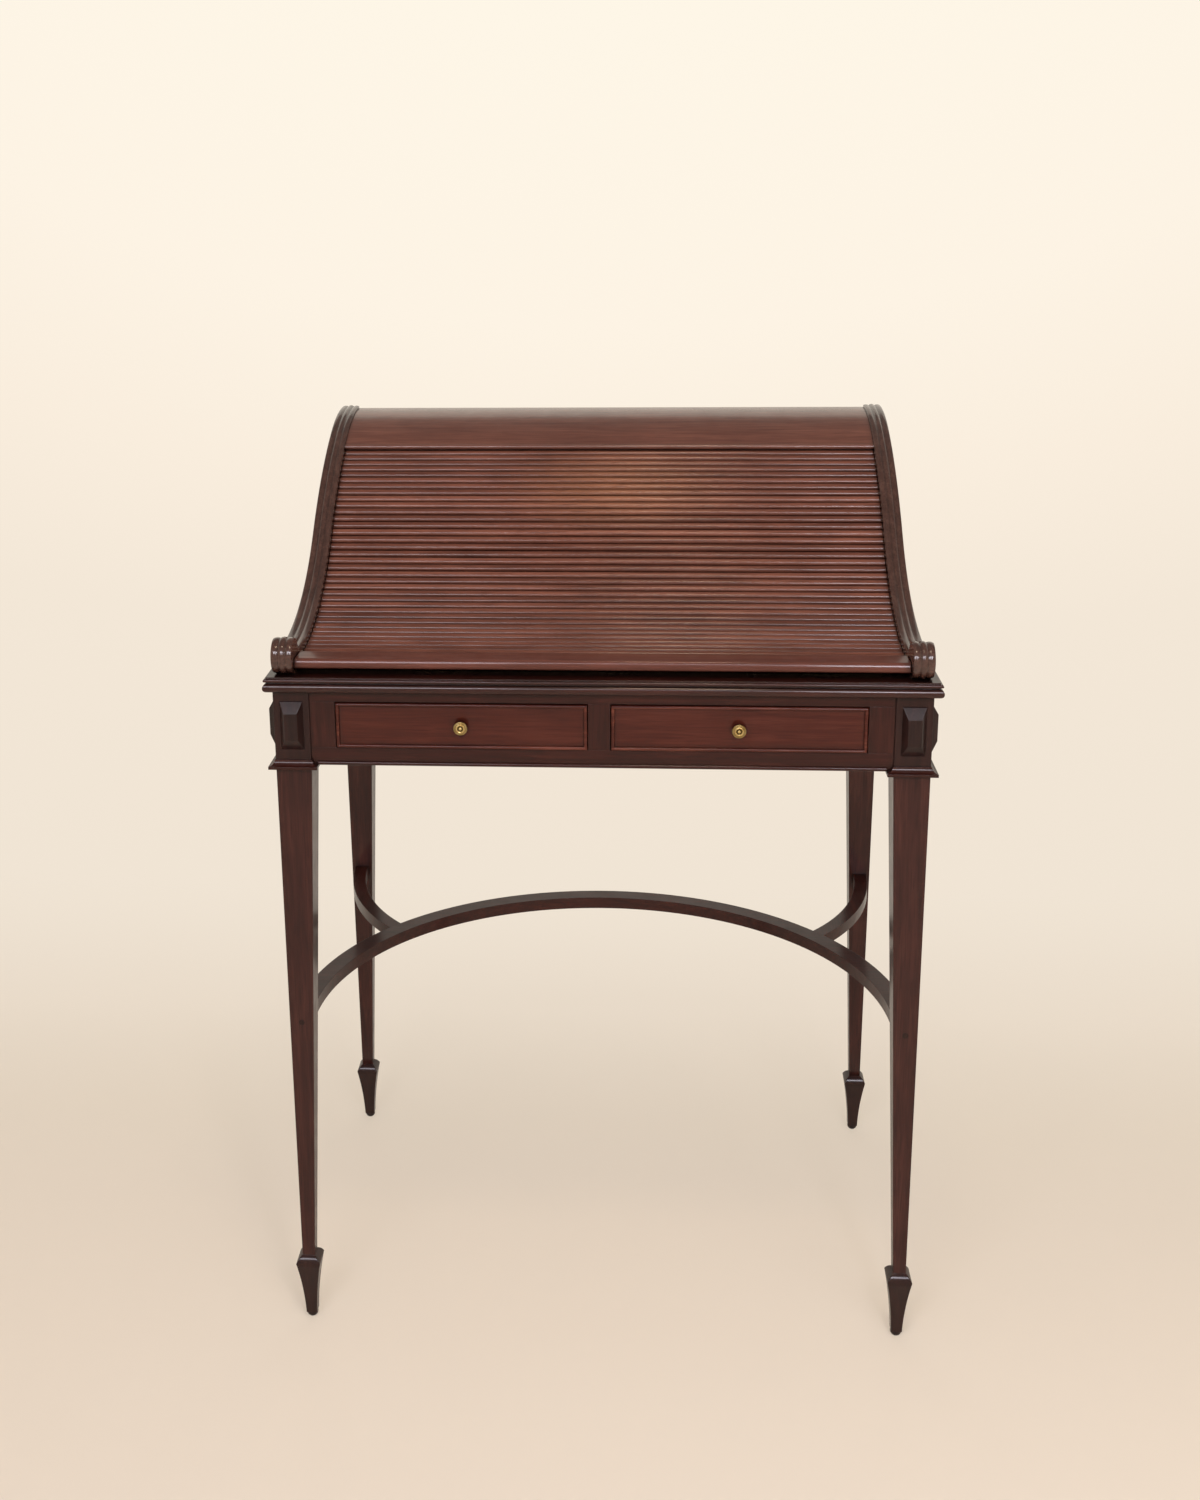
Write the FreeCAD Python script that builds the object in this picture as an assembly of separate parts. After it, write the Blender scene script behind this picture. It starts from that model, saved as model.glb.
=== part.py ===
# Tambour writing desk with S-shaped gables, two frieze drawers, tapered legs and a hoop stretcher.
# Millimetres. X runs along the front, Y from front to back, Z up; the origin is on the floor, mid-plan.
import FreeCAD
import Part
import math
import os

# Desktop board and its reeded edge, from the top down
WIDTH = 680.0
DEPTH = 455.0
DESK_HEIGHT = 757.0
FILLET_T = 1.6
UPPER_REED_T = 3.4
EDGE_GROOVE_T = 1.2
LOWER_REED_T = 9.8
EDGE_STEP = 3.5
UPPER_REED_SET = 0.9
REED_FLAT = 0.1
LEATHER_T = 1.2
LEATHER_MARGIN = 22.0
LEATHER_FRONT = 64.0

# Legs: a square die, a taper on the two inner faces, and a spade foot
FRONT_OVERHANG = 10.0
SIDE_OVERHANG = 8.0
BACK_OVERHANG = 32.0
DIE = 37.0
ANKLE = 13.8
FOOT_H = 77.0
FOOT_W = 26.0
FOOT_SHOULDER_H = 15.0
FOOT_LIP = 2.5
FOOT_WAIST_W = 16.4
TOE_W = 12.0
GLIDE_H = 6.0
GLIDE_R = 6.0
GLIDE_FLAT_R = 4.0
COLLAR_H = 9.0
COLLAR_DROP = 3.0
COLLAR_OUT = 6.8
COLLAR_LIP = 3.0
BOSS_W = 24.0
BOSS_H = 52.0
BOSS_FLAT_W = 13.5
BOSS_FLAT_H = 28.0
BOSS_OUT = 7.0

# Hoop stretcher: half an ellipse in plan behind the front legs, with a curved stay to each back leg
HOOP_Z = 368.0
HOOP_H = 14.0
HOOP_W = 20.0
HOOP_BACK_GAP = 62.0
STAY_W = 16.0
STAY_R = 240.0
STAY_SWEEP = 62.0
PLUG_R = 3.0
PLUG_DEPTH = 7.0
PLUG_PROUD = 0.3

# Frieze and drawers
FRIEZE_H = 80.0
RAIL_T = 18.0
APRON_SET = 2.0
TOP_RAIL_H = 12.0
BOTTOM_RAIL_H = 19.0
STILE_W = 26.0
MUNTIN_W = 22.5
BEAD_R = 2.2
RUNNER_W = 40.0
RUNNER_H = 12.0
CENTRE_RUNNER_W = 64.0
GUIDE_W = 10.0
GUIDE_H = 20.0
DRAWER_GAP = 0.8
DRAWER_LIFT = 0.3
DRAWER_FRONT_T = 16.0
DRAWER_SIDE_T = 9.0
DRAWER_SIDE_DROP = 5.0
DRAWER_BOTTOM_T = 5.0
DRAWER_BOTTOM_RISE = 4.0
DRAWER_HOUSING = 4.0
DRAWER_BACK_GAP = 25.0
COCKBEAD_W = 3.6
COCKBEAD_OUT = 2.6
COCKBEAD_DEPTH = 10.0
COCKBEAD_ROUND = 1.7
KNOB_R = 7.2
KNOB_OUT = 9.5
KNOB_ROSE_R = 4.6
KNOB_NECK_R = 2.6
KNOB_SHANK_R = 2.0
KNOB_SHANK = 9.0

# S-shaped gables: a hollow below, a round above, a level crest, three reeds on the edge and a roundel at the front
GABLE_T = 20.0
GABLE_SET = 11.0
GABLE_BACK_SET = 6.0
EDGE_LOW_Y = 45.0
EDGE_LOW_RISE = 20.0
HOLLOW_R = 260.0
ROUND_R = 446.0
S_ANGLE = 45.8
CREST_RUN = 84.0
REEDS = 3
REED_RISE = 0.9
REED_CROWN = 0.6
EDGE_STRIP = 10.0
PLATE_DROP = 5.5
ROUNDEL_R = 19.0
ROUNDEL_Y = 19.0
ROUNDEL_OUT = 1.0

# Tambour: slats on canvas, running in grooves under the gable edge and down the back
TAMBOUR_DROP = 8.5
CURTAIN_TUCK = 25.0
SLAT_GAP = 0.4
SLAT_RELIEF = 0.4
SLAT_T = 6.2
SLAT_FLANK = 3.2
CANVAS_T = 0.8
STRIP_SLATS = 3
STRIPS = 13
END_GAP = 0.6
TONGUE_T = 4.0
TONGUE_L = 5.0
TONGUE_TOP = 2.2
GROOVE_SIDE_GAP = 1.5
GROOVE_END_GAP = 1.2
LEAD_Y = 13.0
LEAD_W = 29.0
LEAD_LIFT = 3.6
LEAD_PROUD = 1.5
CORNER_R = 32.0
BACK_RUN_GAP = 1.5

# Case behind the tambour
FASCIA_RUN = 107.0
FASCIA_DROP = 3.0
FASCIA_T = 5.0
FASCIA_BEAD_R = 3.0
BACK_T = 8.0
FALSE_BACK_T = 8.0
FALSE_BACK_GAP = 3.5
PIGEON_DEPTH = 96.0
PIGEON_CLEAR = 40.0
PIGEON_T = 6.0
PIGEON_DIVIDERS = 5

# Levels and faces that follow from the sizes above
FRONT = -DEPTH / 2
BACK = DEPTH / 2
DESK_T = FILLET_T + UPPER_REED_T + EDGE_GROOVE_T + LOWER_REED_T
DESK_UNDER = DESK_HEIGHT - DESK_T
APRON_BOTTOM = DESK_UNDER - FRIEZE_H
COLLAR_BOTTOM = APRON_BOTTOM - COLLAR_DROP
LEG_X = WIDTH / 2 - SIDE_OVERHANG
LEG_FRONT = FRONT + FRONT_OVERHANG
LEG_BACK = BACK - BACK_OVERHANG
DIE_IN = LEG_X - DIE
RAIL_FRONT = LEG_FRONT + APRON_SET
RAIL_REAR = RAIL_FRONT + RAIL_T
BACK_APRON_FRONT = LEG_BACK - APRON_SET - RAIL_T
OPEN_BOTTOM = APRON_BOTTOM + BOTTOM_RAIL_H
OPEN_TOP = DESK_UNDER - TOP_RAIL_H
OPEN_IN = MUNTIN_W / 2
OPEN_OUT = DIE_IN - STILE_W
DRAWER_BACK = BACK_APRON_FRONT - DRAWER_BACK_GAP
GABLE_OUT = WIDTH / 2 - GABLE_SET
GABLE_IN = GABLE_OUT - GABLE_T
GABLE_BACK = BACK - GABLE_BACK_SET
PANEL_FRONT = GABLE_BACK - BACK_T
CREST_BACK = PANEL_FRONT - BACK_RUN_GAP
SLAT_DEEP = SLAT_T + CANVAS_T
FALSE_BACK_REAR = CREST_BACK - SLAT_DEEP - FALSE_BACK_GAP
FALSE_BACK_FRONT = FALSE_BACK_REAR - FALSE_BACK_T
PIGEON_FRONT = FALSE_BACK_FRONT - PIGEON_DEPTH
FASCIA_FRONT = GABLE_BACK - FASCIA_RUN
X_AXIS = FreeCAD.Vector(1, 0, 0)


def vec(x, y, z):
    return FreeCAD.Vector(x, y, z)


def box(x0, x1, y0, y1, z0, z1):
    return Part.makeBox(x1 - x0, y1 - y0, z1 - z0, vec(x0, y0, z0))


def face_of(edges):
    return Part.Face(Part.Wire(edges))


def polygon(points):
    return Part.Face(Part.makePolygon(points + points[:1]))


def line(a, b):
    return Part.LineSegment(a, b).toShape()


def arc(a, middle, b):
    return Part.Arc(a, middle, b).toShape()


def mirror_x(shape):
    return shape.mirror(vec(0, 0, 0), X_AXIS)


def mirror_y(shape, plane_y):
    return shape.mirror(vec(0, plane_y, 0), vec(0, 1, 0))


def both_sides(shape):
    return [shape, mirror_x(shape)]


def fuse(shapes):
    return shapes[0].multiFuse(shapes[1:]).removeSplitter()


def save(name, shapes):
    group = shapes if isinstance(shapes, list) else [shapes]
    shape = group[0] if len(group) == 1 else Part.makeCompound(group)
    shape.exportStep("parts/" + name + ".step")


# A pose on a curve in the Y-Z plane is (y, z, angle of travel); a run is (length, bend), bend = 1 / radius.
def normal(angle):
    return -math.sin(angle), math.cos(angle)


def walk(pose, length, bend):
    y, z, a = pose
    if bend == 0:
        return y + length * math.cos(a), z + length * math.sin(a), a
    b = a + bend * length
    return y + (math.sin(b) - math.sin(a)) / bend, z - (math.cos(b) - math.cos(a)) / bend, b


def lowered(pose, depth):
    ny, nz = normal(pose[2])
    return pose[0] - depth * ny, pose[1] - depth * nz, pose[2]


def at(pose, x, n):
    y, z, _ = lowered(pose, -n)
    return vec(x, y, z)


def sweep(section, pose, length, bend):
    y, z, a = pose
    if bend == 0:
        return section.extrude(vec(0, length * math.cos(a), length * math.sin(a)))
    ny, nz = normal(a)
    centre = vec(0, y + ny / bend, z + nz / bend)
    return section.revolve(centre, X_AXIS, math.degrees(bend * length))


def sweep_runs(pose, runs, section_at):
    solids = []
    for length, bend in runs:
        solids.append(sweep(section_at(pose), pose, length, bend))
        pose = walk(pose, length, bend)
    return solids


def rectangle_at(pose, x0, x1, n0, n1):
    return polygon([at(pose, x0, n0), at(pose, x1, n0), at(pose, x1, n1), at(pose, x0, n1)])


# Gable edge: level out of the roundel, a hollow up to the steepest slope, a round, and a crest that is level at the back.
EDGE_LOW = (FRONT + EDGE_LOW_Y, DESK_HEIGHT + EDGE_LOW_RISE, 0.0)
EDGE_START = (FRONT + ROUNDEL_Y, DESK_HEIGHT + EDGE_LOW_RISE, 0.0)
STEEP = math.radians(S_ANGLE)
EDGE_STEEP = walk(EDGE_LOW, HOLLOW_R * STEEP, 1 / HOLLOW_R)
ROUND_Y = EDGE_STEEP[0] + ROUND_R * math.sin(STEEP)
ROUND_Z = EDGE_STEEP[1] - ROUND_R * math.cos(STEEP)


def slope_at(y, radius):
    return math.asin((ROUND_Y - y) / radius)


CREST_SLOPE = slope_at(GABLE_BACK - CREST_RUN, ROUND_R)
CREST_R = CREST_RUN / math.sin(CREST_SLOPE)
CREST_Z = ROUND_Z + (ROUND_R - CREST_R) * math.cos(CREST_SLOPE)


def top_point(depth, y):
    # Level of the lowered edge on the round or, past the joint with it, on the crest.
    if y > GABLE_BACK - (CREST_R - depth) * math.sin(CREST_SLOPE):
        return CREST_Z + math.sqrt((CREST_R - depth) ** 2 - (y - GABLE_BACK) ** 2)
    return ROUND_Z + math.sqrt((ROUND_R - depth) ** 2 - (y - ROUND_Y) ** 2)


def edge_runs(depth):
    hollow, rounded, crest = HOLLOW_R + depth, ROUND_R - depth, CREST_R - depth
    return [
        (EDGE_LOW[0] - EDGE_START[0], 0.0),
        (hollow * STEEP, 1 / hollow),
        (rounded * (STEEP - CREST_SLOPE), -1 / rounded),
        (crest * CREST_SLOPE, -1 / crest),
    ]


# Tambour path, taken at the crests of the slats: the gable edge lowered, a tight corner, and down the back.
PATH_START = (FRONT + LEAD_Y, DESK_HEIGHT + EDGE_LOW_RISE - TAMBOUR_DROP, 0.0)
PATH_ROUND = ROUND_R - TAMBOUR_DROP
PATH_CREST = CREST_R - TAMBOUR_DROP
CORNER_SLOPE = math.asin((GABLE_BACK - CREST_BACK + CORNER_R) / (PATH_CREST - CORNER_R))
CORNER_Z = CREST_Z + (PATH_CREST - CORNER_R) * math.cos(CORNER_SLOPE)
PATH_RUNS = [
    (EDGE_LOW[0] - PATH_START[0], 0.0),
    ((HOLLOW_R + TAMBOUR_DROP) * STEEP, 1 / (HOLLOW_R + TAMBOUR_DROP)),
    (PATH_ROUND * (STEEP - CREST_SLOPE), -1 / PATH_ROUND),
    (PATH_CREST * (CREST_SLOPE - CORNER_SLOPE), -1 / PATH_CREST),
    (CORNER_R * (CORNER_SLOPE + math.pi / 2), -1 / CORNER_R),
    (CORNER_Z - DESK_HEIGHT, 0.0),
]

# The closed curtain ends a little way under the fascia, and its slats share the length.
FASCIA_AT = PATH_RUNS[0][0] + PATH_RUNS[1][0] + PATH_ROUND * (STEEP - slope_at(FASCIA_FRONT, PATH_ROUND))
SLAT_PITCH = (FASCIA_AT + CURTAIN_TUCK - LEAD_W) / (STRIPS * STRIP_SLATS)


def path_pose(distance):
    pose = PATH_START
    for length, bend in PATH_RUNS[:-1]:
        if distance <= length:
            return walk(pose, distance, bend)
        pose = walk(pose, length, bend)
        distance -= length
    return walk(pose, distance, 0.0)


def strip_pose(middle, width):
    # A flat strip lies halfway between its chord and the curve.
    y0, z0, _ = path_pose(middle - width / 2)
    y1, z1, _ = path_pose(middle + width / 2)
    ym, zm, _ = path_pose(middle)
    return (y0 + y1 + 2 * ym) / 4, (z0 + z1 + 2 * zm) / 4, math.atan2(z1 - z0, y1 - y0)


def curtain_under(y):
    # Level of the canvas behind the closed curtain.
    depth = TAMBOUR_DROP + SLAT_DEEP
    if y > lowered(EDGE_STEEP, depth)[0]:
        return top_point(depth, y)
    return EDGE_LOW[1] + HOLLOW_R - math.sqrt((HOLLOW_R + depth) ** 2 - (y - EDGE_LOW[0]) ** 2)


def square_turning(x, y, outline):
    # A square post whose four sides share one outline, given as edges from the axis in X and Z.
    front = face_of(outline)
    reach = front.BoundBox.XLength
    half = front.extrude(vec(0, 2 * reach, 0))
    half.translate(vec(0, -reach, 0))
    post = fuse(both_sides(half))
    turned = post.copy()
    turned.rotate(vec(0, 0, 0), vec(0, 0, 1), 90)
    solid = post.common(turned)
    solid.translate(vec(x, y, 0))
    return solid


def leg_width(z):
    share = (z - FOOT_H) / (COLLAR_BOTTOM - FOOT_H)
    return ANKLE + (DIE - ANKLE) * share


def leg_corners(z):
    w = leg_width(z)
    x0, y0 = LEG_X - w, LEG_FRONT
    return [vec(x0, y0, z), vec(LEG_X, y0, z), vec(LEG_X, y0 + w, z), vec(x0, y0 + w, z)]


def frustum(low, high):
    # Flat-sided solid between two outlines with matching corners.
    sides = []
    for i, corner in enumerate(low):
        j = (i + 1) % len(low)
        sides.append(polygon([corner, low[j], high[j], high[i]]))
    solid = Part.makeSolid(Part.makeShell(sides + [polygon(low), polygon(high)]))
    if solid.Volume < 0:
        solid.reverse()
    return solid


def spade_foot():
    shoulder = FOOT_H - FOOT_SHOULDER_H
    lip = shoulder - FOOT_LIP
    half = FOOT_W / 2
    outline = [
        line(vec(0, 0, FOOT_H), vec(ANKLE / 2, 0, FOOT_H)),
        line(vec(ANKLE / 2, 0, FOOT_H), vec(half, 0, shoulder)),
        line(vec(half, 0, shoulder), vec(half, 0, lip)),
        arc(vec(half, 0, lip), vec(FOOT_WAIST_W / 2, 0, (lip + GLIDE_H) / 2), vec(TOE_W / 2, 0, GLIDE_H)),
        line(vec(TOE_W / 2, 0, GLIDE_H), vec(0, 0, GLIDE_H)),
        line(vec(0, 0, GLIDE_H), vec(0, 0, FOOT_H)),
    ]
    return square_turning(LEG_X - ANKLE / 2, LEG_FRONT + ANKLE / 2, outline)


def plug(proud):
    x = LEG_X - leg_width(HOOP_Z) / 2
    return Part.makeCylinder(PLUG_R, PLUG_DEPTH + proud, vec(x, LEG_FRONT - proud, HOOP_Z), vec(0, 1, 0))


def front_leg():
    die = box(DIE_IN, LEG_X, LEG_FRONT, LEG_FRONT + DIE, COLLAR_BOTTOM, DESK_UNDER)
    taper = frustum(leg_corners(FOOT_H), leg_corners(COLLAR_BOTTOM))
    return fuse([die, taper, spade_foot()])


def to_back(shape):
    return mirror_y(shape, (LEG_FRONT + LEG_BACK) / 2)


def four_corners(shape):
    return both_sides(shape) + both_sides(to_back(shape))


def foot_glide():
    profile = face_of([
        line(vec(0, 0, 0), vec(GLIDE_FLAT_R, 0, 0)),
        arc(vec(GLIDE_FLAT_R, 0, 0), vec(GLIDE_R * 0.93, 0, GLIDE_H * 0.3), vec(GLIDE_R, 0, GLIDE_H)),
        line(vec(GLIDE_R, 0, GLIDE_H), vec(0, 0, GLIDE_H)),
        line(vec(0, 0, GLIDE_H), vec(0, 0, 0)),
    ])
    glide = profile.revolve(vec(0, 0, 0), vec(0, 0, 1), 360)
    glide.translate(vec(LEG_X - ANKLE / 2, LEG_FRONT + ANKLE / 2, 0))
    return glide


def collar(frieze):
    half, out = DIE / 2, DIE / 2 + COLLAR_OUT
    top, lip = COLLAR_BOTTOM + COLLAR_H, COLLAR_BOTTOM + COLLAR_LIP
    neck = half + 1.0
    outline = [
        line(vec(0, 0, top), vec(neck, 0, top)),
        arc(vec(neck, 0, top), vec(half + COLLAR_OUT * 0.35, 0, lip + (top - lip) * 0.35), vec(out, 0, lip)),
        line(vec(out, 0, lip), vec(out, 0, COLLAR_BOTTOM)),
        line(vec(out, 0, COLLAR_BOTTOM), vec(0, 0, COLLAR_BOTTOM)),
        line(vec(0, 0, COLLAR_BOTTOM), vec(0, 0, top)),
    ]
    post = square_turning(LEG_X - half, LEG_FRONT + half, outline)
    die = box(DIE_IN, LEG_X, LEG_FRONT, LEG_FRONT + DIE, COLLAR_BOTTOM - 1, top + 1)
    return post.cut(die).cut(frieze)


def boss_on_front():
    z = (COLLAR_BOTTOM + COLLAR_H + DESK_UNDER) / 2
    x = LEG_X - DIE / 2

    def outline(w, h, y):
        return [vec(x - w / 2, y, z - h / 2), vec(x + w / 2, y, z - h / 2),
                vec(x + w / 2, y, z + h / 2), vec(x - w / 2, y, z + h / 2)]

    return frustum(outline(BOSS_W, BOSS_H, LEG_FRONT), outline(BOSS_FLAT_W, BOSS_FLAT_H, LEG_FRONT - BOSS_OUT))


def boss_on_side():
    boss = boss_on_front()
    boss.rotate(vec(LEG_X - DIE / 2, LEG_FRONT + DIE / 2, 0), vec(0, 0, 1), 90)
    return boss


def leg_bosses():
    return both_sides(boss_on_front()) + four_corners(boss_on_side())


# Stretcher
def half_ellipse(side, reach, y):
    long_way, short_way = (side, reach) if side >= reach else (reach, side)
    whole = Part.Ellipse(vec(0, y, HOOP_Z - HOOP_H / 2), long_way, short_way).toShape()
    disc = Part.Face(Part.Wire([whole]))
    if reach > side:
        disc.rotate(vec(0, y, 0), vec(0, 0, 1), 90)
    solid = disc.extrude(vec(0, 0, HOOP_H))
    return solid.common(box(-WIDTH, WIDTH, y, y + WIDTH, 0, DESK_HEIGHT))


def hoop_start():
    return LEG_FRONT + leg_width(HOOP_Z)


def hoop_reach():
    return LEG_BACK - leg_width(HOOP_Z) - HOOP_BACK_GAP - hoop_start()


def hoop_disc(inset):
    middle = LEG_X - leg_width(HOOP_Z) / 2
    return half_ellipse(middle + HOOP_W / 2 - inset, hoop_reach() - inset, hoop_start())


def stretcher_hoop(legs):
    middle = LEG_X - leg_width(HOOP_Z) / 2
    low, high = HOOP_Z - HOOP_H / 2, HOOP_Z + HOOP_H / 2
    end = box(middle - HOOP_W / 2, middle + HOOP_W / 2, hoop_start() - HOOP_H, hoop_start(), low, high)
    hoop = fuse([hoop_disc(0).cut(hoop_disc(HOOP_W))] + both_sides(end))
    return hoop.cut(legs[0]).cut(legs[1])


def stretcher_stay(back_leg):
    x = LEG_X - leg_width(HOOP_Z) / 2
    y = LEG_BACK - leg_width(HOOP_Z)
    low = HOOP_Z - HOOP_H / 2
    tail = box(x - STAY_W / 2, x + STAY_W / 2, y, y + HOOP_H, low, low + HOOP_H)
    section = polygon([vec(x - STAY_W / 2, y, low), vec(x + STAY_W / 2, y, low),
                       vec(x + STAY_W / 2, y, low + HOOP_H), vec(x - STAY_W / 2, y, low + HOOP_H)])
    bow = section.revolve(vec(x - STAY_R, y, low), vec(0, 0, 1), -STAY_SWEEP)
    return fuse([bow, tail]).cut(hoop_disc(0)).cut(back_leg)


# Frieze
def frieze_pieces():
    side_x = LEG_X - APRON_SET
    side = box(side_x - RAIL_T, side_x, LEG_FRONT + DIE, LEG_BACK - DIE, APRON_BOTTOM, DESK_UNDER)
    stile = box(OPEN_OUT, DIE_IN, RAIL_FRONT, RAIL_REAR, OPEN_BOTTOM, OPEN_TOP)
    return {
        "front_top_rail": [box(-DIE_IN, DIE_IN, RAIL_FRONT, RAIL_REAR, OPEN_TOP, DESK_UNDER)],
        "front_bottom_rail": [box(-DIE_IN, DIE_IN, RAIL_FRONT, RAIL_REAR, APRON_BOTTOM, OPEN_BOTTOM)],
        "front_stiles": both_sides(stile),
        "drawer_muntin": [box(-OPEN_IN, OPEN_IN, RAIL_FRONT, RAIL_REAR, OPEN_BOTTOM, OPEN_TOP)],
        "side_apron_right": [side],
        "side_apron_left": [mirror_x(side)],
        "back_apron": [box(-DIE_IN, DIE_IN, BACK_APRON_FRONT, BACK_APRON_FRONT + RAIL_T, APRON_BOTTOM, DESK_UNDER)],
    }


def apron_beads():
    z = APRON_BOTTOM + BEAD_R
    front_end = DIE_IN - COLLAR_OUT
    front = Part.makeCylinder(BEAD_R, 2 * front_end, vec(-front_end, RAIL_FRONT, z), X_AXIS)
    front = front.cut(box(-WIDTH, WIDTH, RAIL_FRONT, BACK, 0, DESK_HEIGHT))
    start, end = LEG_FRONT + DIE + COLLAR_OUT, LEG_BACK - DIE - COLLAR_OUT
    side_x = LEG_X - APRON_SET
    side = Part.makeCylinder(BEAD_R, end - start, vec(side_x, start, z), vec(0, 1, 0))
    side = side.cut(box(0, side_x, FRONT, BACK, 0, DESK_HEIGHT))
    return [front] + both_sides(side)


def drawer_runners(z0, z1):
    outer = box(DIE_IN - RUNNER_W, DIE_IN, RAIL_REAR, BACK_APRON_FRONT, z0, z1)
    centre = box(-CENTRE_RUNNER_W / 2, CENTRE_RUNNER_W / 2, RAIL_REAR, BACK_APRON_FRONT, z0, z1)
    return [centre] + both_sides(outer)


def drawer_guides():
    top = OPEN_BOTTOM + GUIDE_H
    outer = box(OPEN_OUT, OPEN_OUT + GUIDE_W, RAIL_REAR, BACK_APRON_FRONT, OPEN_BOTTOM, top)
    centre = box(-OPEN_IN, OPEN_IN, RAIL_REAR, BACK_APRON_FRONT, OPEN_BOTTOM, top)
    return [centre] + both_sides(outer)


# Drawers, built on the right and mirrored
DRAWER_X0 = OPEN_IN + DRAWER_GAP
DRAWER_X1 = OPEN_OUT - DRAWER_GAP
DRAWER_Z0 = OPEN_BOTTOM + DRAWER_LIFT
DRAWER_Z1 = OPEN_TOP - DRAWER_GAP


def knob():
    x, z = (DRAWER_X0 + DRAWER_X1) / 2, (DRAWER_Z0 + DRAWER_Z1) / 2
    # From the button in the middle of the face: groove, ring, rim, neck, rose and the shank in the drawer front.
    outline = [
        (0, KNOB_OUT - 0.2), (1.2, KNOB_OUT - 0.4), (1.6, KNOB_OUT - 1.1), (2.6, KNOB_OUT - 1.1), (3.4, KNOB_OUT),
        (4.4, KNOB_OUT), (5.0, KNOB_OUT - 0.7), (KNOB_R - 0.8, KNOB_OUT - 0.9), (KNOB_R, KNOB_OUT - 1.7),
        (KNOB_R, KNOB_OUT - 2.6), (KNOB_R - 1.2, KNOB_OUT - 3.9), (3.6, KNOB_OUT - 5.1),
        (KNOB_NECK_R, KNOB_OUT - 6.1), (KNOB_NECK_R, 2.4), (KNOB_ROSE_R, 1.6), (KNOB_ROSE_R, 0),
        (KNOB_SHANK_R, 0), (KNOB_SHANK_R, -KNOB_SHANK), (0, -KNOB_SHANK),
    ]
    points = [vec(x + r, RAIL_FRONT - out, z) for r, out in outline]
    return polygon(points).revolve(vec(x, RAIL_FRONT, z), vec(0, 1, 0), 360)


def inset_box(inset, y0, y1):
    return box(DRAWER_X0 + inset, DRAWER_X1 - inset, y0, y1, DRAWER_Z0 + inset, DRAWER_Z1 - inset)


def cockbead():
    front = RAIL_FRONT - COCKBEAD_OUT
    rear = RAIL_FRONT + COCKBEAD_DEPTH
    ring = inset_box(0, front, rear).cut(inset_box(COCKBEAD_W, front, rear))
    nosing = [e for e in ring.Edges if e.BoundBox.YMax < front + 0.01]
    return ring.makeFillet(COCKBEAD_ROUND, nosing)


def drawer_pieces():
    front_rear = RAIL_FRONT + DRAWER_FRONT_T
    inner_x0, inner_x1 = DRAWER_X0 + DRAWER_SIDE_T, DRAWER_X1 - DRAWER_SIDE_T
    bottom_z = DRAWER_Z0 + DRAWER_BOTTOM_RISE
    bottom = box(inner_x0 - DRAWER_HOUSING, inner_x1 + DRAWER_HOUSING, front_rear - DRAWER_HOUSING, DRAWER_BACK,
                 bottom_z, bottom_z + DRAWER_BOTTOM_T)
    field = inset_box(COCKBEAD_W, RAIL_FRONT, RAIL_FRONT + COCKBEAD_DEPTH)
    front = fuse([field, inset_box(0, RAIL_FRONT + COCKBEAD_DEPTH, front_rear)])
    side_top = DRAWER_Z1 - DRAWER_SIDE_DROP
    sides = [
        box(DRAWER_X0, inner_x0, front_rear, DRAWER_BACK, DRAWER_Z0, side_top),
        box(inner_x1, DRAWER_X1, front_rear, DRAWER_BACK, DRAWER_Z0, side_top),
    ]
    back = box(inner_x0, inner_x1, DRAWER_BACK - DRAWER_SIDE_T, DRAWER_BACK, bottom_z + DRAWER_BOTTOM_T, side_top)
    pull = knob()
    return {
        "front": [front.cut(bottom).cut(pull)],
        "cockbead": [cockbead()],
        "sides": [side.cut(bottom) for side in sides],
        "back": [back],
        "bottom": [bottom],
        "knob": [pull],
    }


# Desktop
def slab(inset, z0, thickness):
    x, y = WIDTH / 2 - inset, DEPTH / 2 - inset
    return box(-x, x, -y, y, z0, z0 + thickness)


def reed_slab(inset, z0, thickness):
    board = slab(inset, z0, thickness)
    level = [e for e in board.Edges if e.BoundBox.ZLength < 0.01]
    return board.makeFillet(thickness / 2 - REED_FLAT, level)


def leather():
    x = GABLE_IN - LEATHER_MARGIN
    rear = PIGEON_FRONT - LEATHER_MARGIN / 2
    return box(-x, x, FRONT + LEATHER_FRONT, rear, DESK_HEIGHT - LEATHER_T, DESK_HEIGHT)


def desktop():
    groove_z = DESK_UNDER + LOWER_REED_T
    upper_z = groove_z + EDGE_GROOVE_T
    board = fuse([
        reed_slab(0, DESK_UNDER, LOWER_REED_T),
        slab(EDGE_STEP, groove_z, EDGE_GROOVE_T),
        reed_slab(UPPER_REED_SET, upper_z, UPPER_REED_T),
        slab(EDGE_STEP, upper_z + UPPER_REED_T, FILLET_T),
    ])
    return board.cut(leather())


# Gables
def reeded_outline(point, x0, x1):
    # The reeds cross the edge as low arcs that meet in fine grooves; the middle one stands a little proud.
    width, groove = (x1 - x0) / REEDS, -REED_RISE
    edges = [line(point(x1, groove), point(x1, -EDGE_STRIP)), line(point(x1, -EDGE_STRIP), point(x0, -EDGE_STRIP)),
             line(point(x0, -EDGE_STRIP), point(x0, groove))]
    for i in range(REEDS):
        left = x0 + width * i
        crown = REED_CROWN if 0 < i < REEDS - 1 else 0.0
        edges.append(arc(point(left, groove), point(left + width / 2, crown), point(left + width, groove)))
    return Part.Face(Part.Wire(Part.__sortEdges__(edges)))


def edge_section(pose):
    return reeded_outline(lambda x, n: at(pose, x, n), GABLE_IN, GABLE_OUT)


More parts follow.
